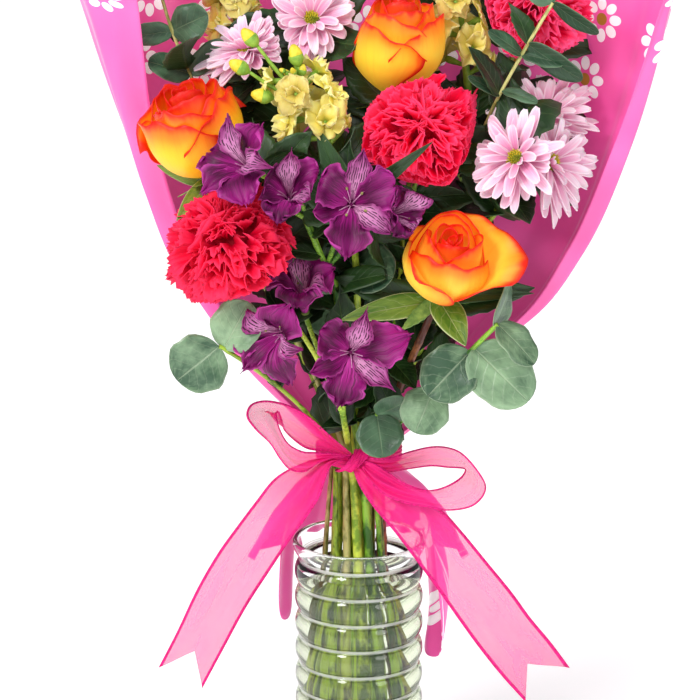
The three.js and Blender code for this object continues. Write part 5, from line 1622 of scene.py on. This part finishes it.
def vase(look):
    """The glass wall, its stacked rings bulging outwards, under a plain band and a rolled lip."""
    rings = int((TOP_GROOVE - 12) // RING_PITCH)
    shoulder = VASE_HEIGHT - LIP_DROP
    inner = VASE_RIM - 2 * VASE_LIP
    profile = [(0.5, 0.6), (30, 0.6), (34, 0.0), (40, 0), (43, 1.2)]
    profile.append((VASE_GROOVE, TOP_GROOVE - rings * RING_PITCH - 4))
    for k in range(rings, 0, -1):
        for t in np.linspace(0, 1, 17)[:-1]:
            bulge = math.sin(math.pi * t) ** 0.75
            z = TOP_GROOVE - k * RING_PITCH + RING_PITCH * t
            profile.append((VASE_GROOVE + (VASE_RING - VASE_GROOVE) * bulge, z))
    for t in np.linspace(0, 1, 9):
        r = VASE_GROOVE + (VASE_RIM - VASE_GROOVE) * math.sin(math.pi / 2 * t)
        profile.append((r, TOP_GROOVE + (shoulder - TOP_GROOVE) * t))
    for turn in np.linspace(0, math.pi, 9)[1:]:
        r = VASE_RIM - VASE_LIP + VASE_LIP * math.cos(turn)
        profile.append((r, shoulder + LIP_DROP * math.sin(turn)))
    for t in np.linspace(0, 1, 7)[1:]:
        profile.append((inner + (VASE_INSIDE - inner) * t, TOP_GROOVE + (shoulder - TOP_GROOVE) * (1 - t)))
    for z in np.linspace(TOP_GROOVE, VASE_FLOOR + 3, 20)[1:]:
        profile.append((VASE_INSIDE, z))
    profile += [(VASE_INSIDE - 0.9, VASE_FLOOR + 0.9), (VASE_INSIDE - 3, VASE_FLOOR), (0.5, VASE_FLOOR)]
    return lathe("vase_glass", profile, look, ["vase"])


def water(look):
    """The water, which overlaps the glass a little so that no gap shows, and creeps up at its edge."""
    wall = VASE_INSIDE + 0.05
    profile = [(0.5, VASE_FLOOR - 0.05), (wall - 3, VASE_FLOOR - 0.05), (wall - 0.85, VASE_FLOOR + 0.85)]
    profile += [(wall, z) for z in np.linspace(VASE_FLOOR + 3, WATER_TOP, 12)]
    profile += [(wall - 0.6, WATER_TOP - 0.7), (wall - 1.8, WATER_TOP - 1.4), (wall - 4, WATER_TOP - 1.7)]
    profile += [(0.5, WATER_TOP - 1.8)]
    return lathe("vase_water", profile, look, ["water"])


def wrap_upper(u, z):
    """The wrap above the tie: u runs across from edge to edge, z is the height."""
    angle = np.radians(u * by_side(u < 0, WRAP_EDGE, z, smooth_along))
    fan_out = along([(TIE_TOP, 1.3), (330, 2.6), (420, 1.2), (560, 0.8), (650, 1.6)], z)
    waves = 0.5 * np.cos(5 * np.pi * u) + 0.5 * np.cos(11 * np.pi * u + 1.1) + 0.4 * np.sin(17 * u + z / 90)
    flap = smoothstep(0.6, 0.9, np.abs(u))
    rolled = 4 * np.exp(-(((np.abs(u) - 0.94) / 0.03) ** 2)) + 3.6 * np.sin(np.abs(u) * 30 + z / 80) * flap
    gather = (1 - smoothstep(300, 470, z)) * smoothstep(TIE_TOP, 300, z) * (1 - flap)
    pleats = 1.6 - 2.4 * np.abs(np.sin(15 * u + 0.5 * np.sin(3 * u) + z / 400))
    creased = smoothstep(310, 420, z) * (1 - smoothstep(560, 640, z)) * (1 - flap)
    creases = 2.2 * np.abs(np.sin(7.5 * u + z / 230 + 0.4 * np.sin(z / 70)))
    grow = fan_out * waves + rolled * smoothstep(TIE_TOP, 380, z) + gather * pleats - creased * creases
    wide = by_side(u < 0, WRAP_WIDE, z, smooth_along) + grow
    deep = by_side(np.cos(angle) > 0, WRAP_DEEP, z, smooth_along) + grow
    crest = smoothstep(560, WRAP_TOP, z) * 14 * np.cos(u * np.pi * 0.9)
    return np.stack([wide * np.sin(angle), deep * np.cos(angle), z + crest], -1)


def wrap_skirt(u, t):
    """The skirt below the tie, with a long tip on each side. t runs from the tie to the hem."""
    edge = by_side(u < 0, WRAP_EDGE, TIE_TOP)
    degrees = u * (edge + (SKIRT_EDGE - edge) * np.minimum(t * 1.6, 1))
    angle = np.radians(degrees)
    away = np.abs(degrees)
    left = degrees < 0
    corner = smoothstep(84, 112, away)
    shoulder = VASE_HEIGHT + 8
    share = np.clip(1 - (np.abs(away - 70) / np.where(left, 13, 17)) ** 2.4, 0, 1) ** 0.6
    low = np.where(left, SKIRT_LEFT_Z, SKIRT_RIGHT_Z)
    high = SKIRT_BACK_Z + (SKIRT_CORNER_Z - SKIRT_BACK_Z) * smoothstep(60, 90, away)
    hem = high + (low - high) * share
    z = np.where(t < 0.5, TIE_LOW + (shoulder - TIE_LOW) * 2 * t, shoulder + (hem - shoulder) * (2 * t - 1))
    drop = np.clip((shoulder - z) / (shoulder - hem), 0, 1)
    neck = np.interp(z, [shoulder, 240, TIE_LOW], [SKIRT_RIM, 40, 24])
    straight = np.where(z > shoulder, neck, SKIRT_RIM + 3 * drop)
    hang = np.clip((shoulder - z) / (shoulder - low), 0, 1) ** 0.8
    out = np.where(left, 2, 10) * share * np.sin(np.pi * hang)
    r = straight * (1 - corner) + along(SKIRT_FLARE, z) * corner
    r = r + np.cos(u * np.pi * 9) * (0.5 + 2.3 * t) + 1.6 * t + out
    r = r + 0.9 * np.sin(31 * u) * smoothstep(0, 0.3, t)
    return np.stack([r * np.sin(angle), r * np.cos(angle), z], -1)


def wrap(look):
    """One sheet from its flared top edge down through the tie to the skirt's hem."""
    u, t = net(181, 30)
    z = np.linspace(WRAP_TOP, TIE_TOP, 76)[:, None]
    grid = np.concatenate([
        wrap_upper(*np.broadcast_arrays(u, z)), wrap_skirt(*np.broadcast_arrays(u, t)),
    ])
    middle = grid.shape[1] // 2
    run = run_along(grid[:, middle])
    steps = np.linalg.norm(np.diff(grid, axis=1), axis=-1)
    across = np.concatenate([np.zeros((len(grid), 1)), np.cumsum(steps, axis=1)], axis=1)
    across -= across[:, middle][:, None]
    form = Form()
    form.blade(grid, 0.5, across=across, ahead=run[:, None])
    piece = form.make("wrap_sheet", [look], ["wrap"])
    return piece


def ribbon(look):
    """Band, knot, two loops and two notched tails of one sheer strip."""
    form = Form()
    for name, (near, far, notch) in RIBBON.items():
        u, v = net(21, 84 if notch is None else 60)
        one, two = (curve(edge, v[:, 0])[:, None] for edge in (near, far))
        grid = one + (two - one) * ((u + 1) / 2)[..., None]
        if notch is not None:
            cut = np.array(notch, float) - grid[-1, u.size // 2]
            grid = grid + cut * ((1 - np.abs(u)) * smoothstep(0.8, 1, v))[..., None]
        away = np.linalg.norm(grid - KNOT, axis=-1)
        fold = 1.5 * np.exp(-((away - 30) / 26) ** 2) * np.sin(9 * u + 3 * v) * (1 - u**4)
        ripple = 0.8 * np.sin(5 * u + 9 * v) * smoothstep(0, 0.3, v) * (1 - u**6)
        grid = grid + normals(grid) * (fold + ripple)[..., None]
        woven = 0.25 + 0.9 * smoothstep(0.9, 0.96, np.abs(u))
        form.blade(grid, woven, tone=len(name) / 20, ahead=v * 4)
    turn = np.linspace(0, 2 * np.pi, 65)[:, None]
    for k in range(3):
        z = BAND_LOW + 2 + (BAND_HIGH - BAND_LOW - 4) * (u + 1) / 2 + 1.5 * np.sin(turn + 2 * k)
        r = BAND_RADIUS + 0.3 + 0.5 * k + 0.5 * np.sin(9 * u + 5 * turn)
        form.blade(np.stack([*polar(r, 0, turn), z], -1), 0.25, tone=0.3 + 0.1 * k, ahead=turn)
    knot_folds(form)
    piece = form.make("ribbon_bow", [look], ["ribbon"])
    return piece


def knot_folds(form):
    """The knot: a pinched band crossing over, with folds that close round it."""
    u = net(17, 1)[0]
    turn = np.linspace(-0.62, 0.62, 30)[:, None] * np.pi
    for k in range(4):
        tilt = 0.35 - 0.25 * k
        across = u * (5.2 - 0.5 * k) + 0.7 * np.sin(6 * u + 2 * k)
        x = across * math.cos(tilt) + 9.2 * np.sin(turn) * math.sin(tilt + 0.9) * 0.9
        y = -(7.4 + 0.5 * k + 0.8 * np.cos(5 * u + k)) * np.cos(turn)
        z = across * math.sin(tilt) * 0.6 + 7.4 * np.sin(turn) * math.cos(tilt)
        z = z + 0.6 * np.sin(4 * u + k)
        form.blade(np.stack([x, y, z], -1) + KNOT, 0.3, tone=0.2 * k, ahead=(turn + 2) / 4)


# Camera, light and floor

def set_camera():
    """The photograph's view: a long lens that looks down a little."""
    camera = bpy.data.cameras.new("camera")
    camera.lens = LENS
    camera.clip_end = 100
    piece = add_object("camera", camera)
    away = np.array([0, -math.cos(CAMERA_DROP), math.sin(CAMERA_DROP)])
    piece.location = (AIM + away * CAMERA_AWAY) * MM
    piece.rotation_euler = (math.pi / 2 - CAMERA_DROP, 0, 0)
    bpy.context.scene.camera = piece


def area_light(name, at, aim, size, power):
    light = bpy.data.lights.new(name, "AREA")
    light.shape = "DISK"
    light.size = size
    light.energy = power
    piece = add_object(name, light)
    piece.location = at
    x, y, z = np.array(at) - np.array(aim)
    piece.rotation_euler = (math.atan2(math.hypot(x, y), z), 0, math.atan2(x, -y))


def set_light():
    """Even light from all round, a broad sun, and two soft lights in front."""
    world = bpy.data.worlds.new("studio")
    bpy.context.scene.world = world
    world.use_nodes = True
    back = world.node_tree.nodes["Background"]
    back.inputs["Color"].default_value = (0.97, 0.98, 1.0, 1)
    back.inputs["Strength"].default_value = 0.36
    sun = bpy.data.lights.new("sky_sun", "SUN")
    sun.energy = 1.3
    sun.angle = math.radians(40)
    add_object("sky_sun", sun).rotation_euler = (math.radians(22), math.radians(-12), 0)
    area_light("key", (-1.3, -1.9, 1.7), (0, 0, 0.42), 0.8, 34)
    area_light("fill", (1.6, -1.8, 1.1), (0, 0, 0.4), 1.0, 10)


def floor():
    """A white surface under the vase, which glows a little so that it stays white."""
    mesh = bpy.data.meshes.new("floor")
    size = 60
    corners = [(-size, -size, 0), (size, -size, 0), (size, size, 0), (-size, size, 0)]
    mesh.from_pydata(corners, [], [(0, 1, 2, 3)])
    look = Look("floor", Roughness=0.9)
    colour = look.ramp(look.grain(3, 2), (0.3, "#f6f6f6"), (0.7, "#fafafa"))
    look.shader.inputs["Emission Color"].default_value = (1, 1, 1, 1)
    look.shader.inputs["Emission Strength"].default_value = 0.42
    mesh.materials.append(look.finish(colour))
    add_object("floor", mesh)


def build_blooms():
    for name, (layers, colours, reach) in ROSES.items():
        rose(name, layers, rose_look(name, *colours, reach))
    for name, colours in CARNATIONS.items():
        carnation(name, carnation_look(name, *colours))
    mum_petal, florets = mum_look("mum", "#dd7fb0", "#f7b2d1", "#ffe6f1"), disc_look()
    for name in of_kind("mum"):
        mum(name, mum_petal)
        disc(name, florets)
    lilies = [
        lily_look("lily", "#9a1a78", "#cc48a8", "#4c0638"),
        striped_look(),
        plain_look("filament", "#c77fae", "#e0b0cc", 400),
        plain_look("anther", "#7a7440", "#a8a060", 900),
    ]
    for name in of_kind("lily"):
        lily(name, lilies)
    spikes = [
        stock_look(),
        plain_look("stock_green", "#6f9e2c", "#a2c648", 250),
        plain_look("stock_bud", "#d9c41e", "#f2e448", 350),
    ]
    for name in of_kind("stock"):
        stock(name, spikes)


def build_stems():
    """Every stem, with its leaves in their own greens."""
    greens = [
        plain_look("calyx", "#58803a", "#8fae54", 260),
        leaf_look("eucalyptus", "#35553c", "#92b28a", "#bccfac", 6, 0.36, 0.3, 0.35, 0.45),
        leaf_look("leaf", "#16360f", "#3c6a24", "#7f9f55", 9, 0.36),
        # dark_leaf: a darker copy of the leaf colour, partly the leaves' own dark green and partly painted
        # shade for the depth between the blooms.
        leaf_look("dark_leaf", "#12290f", "#2c4f22", "#55753c", 7, 0.4),
        leaf_look("sepal", "#41701f", "#93ad48", "#dbe0a4", 5, 0.4, 0.4, 0.8),
    ]
    # Painted shade: a darker copy of the eucalyptus look for the leaves of the shaded stems.
    shade = leaf_look("eucalyptus_shade", "#2a4730", "#5d8260", "#93ab84", 6, 0.36, 0.3, 0.35, 0.25)
    shaded = [greens[0], shade, *greens[2:]]
    stem_looks = {name: stem_look(f"stem_{name}", *pair) for name, pair in STEM_TINTS.items()}
    for stem in route_stems():
        stem_piece(stem, [stem_looks[stem.colour], *(shaded if stem.name in SHADED else greens)])


def build():
    set_camera()
    bpy.context.scene.view_settings.view_transform = "Standard"
    bpy.context.scene.cycles.transparent_max_bounces = 24
    set_light()
    floor()
    vase(glass_look())
    water(water_look())
    wrap(wrap_look())
    ribbon(ribbon_look())
    build_blooms()
    build_stems()


build()
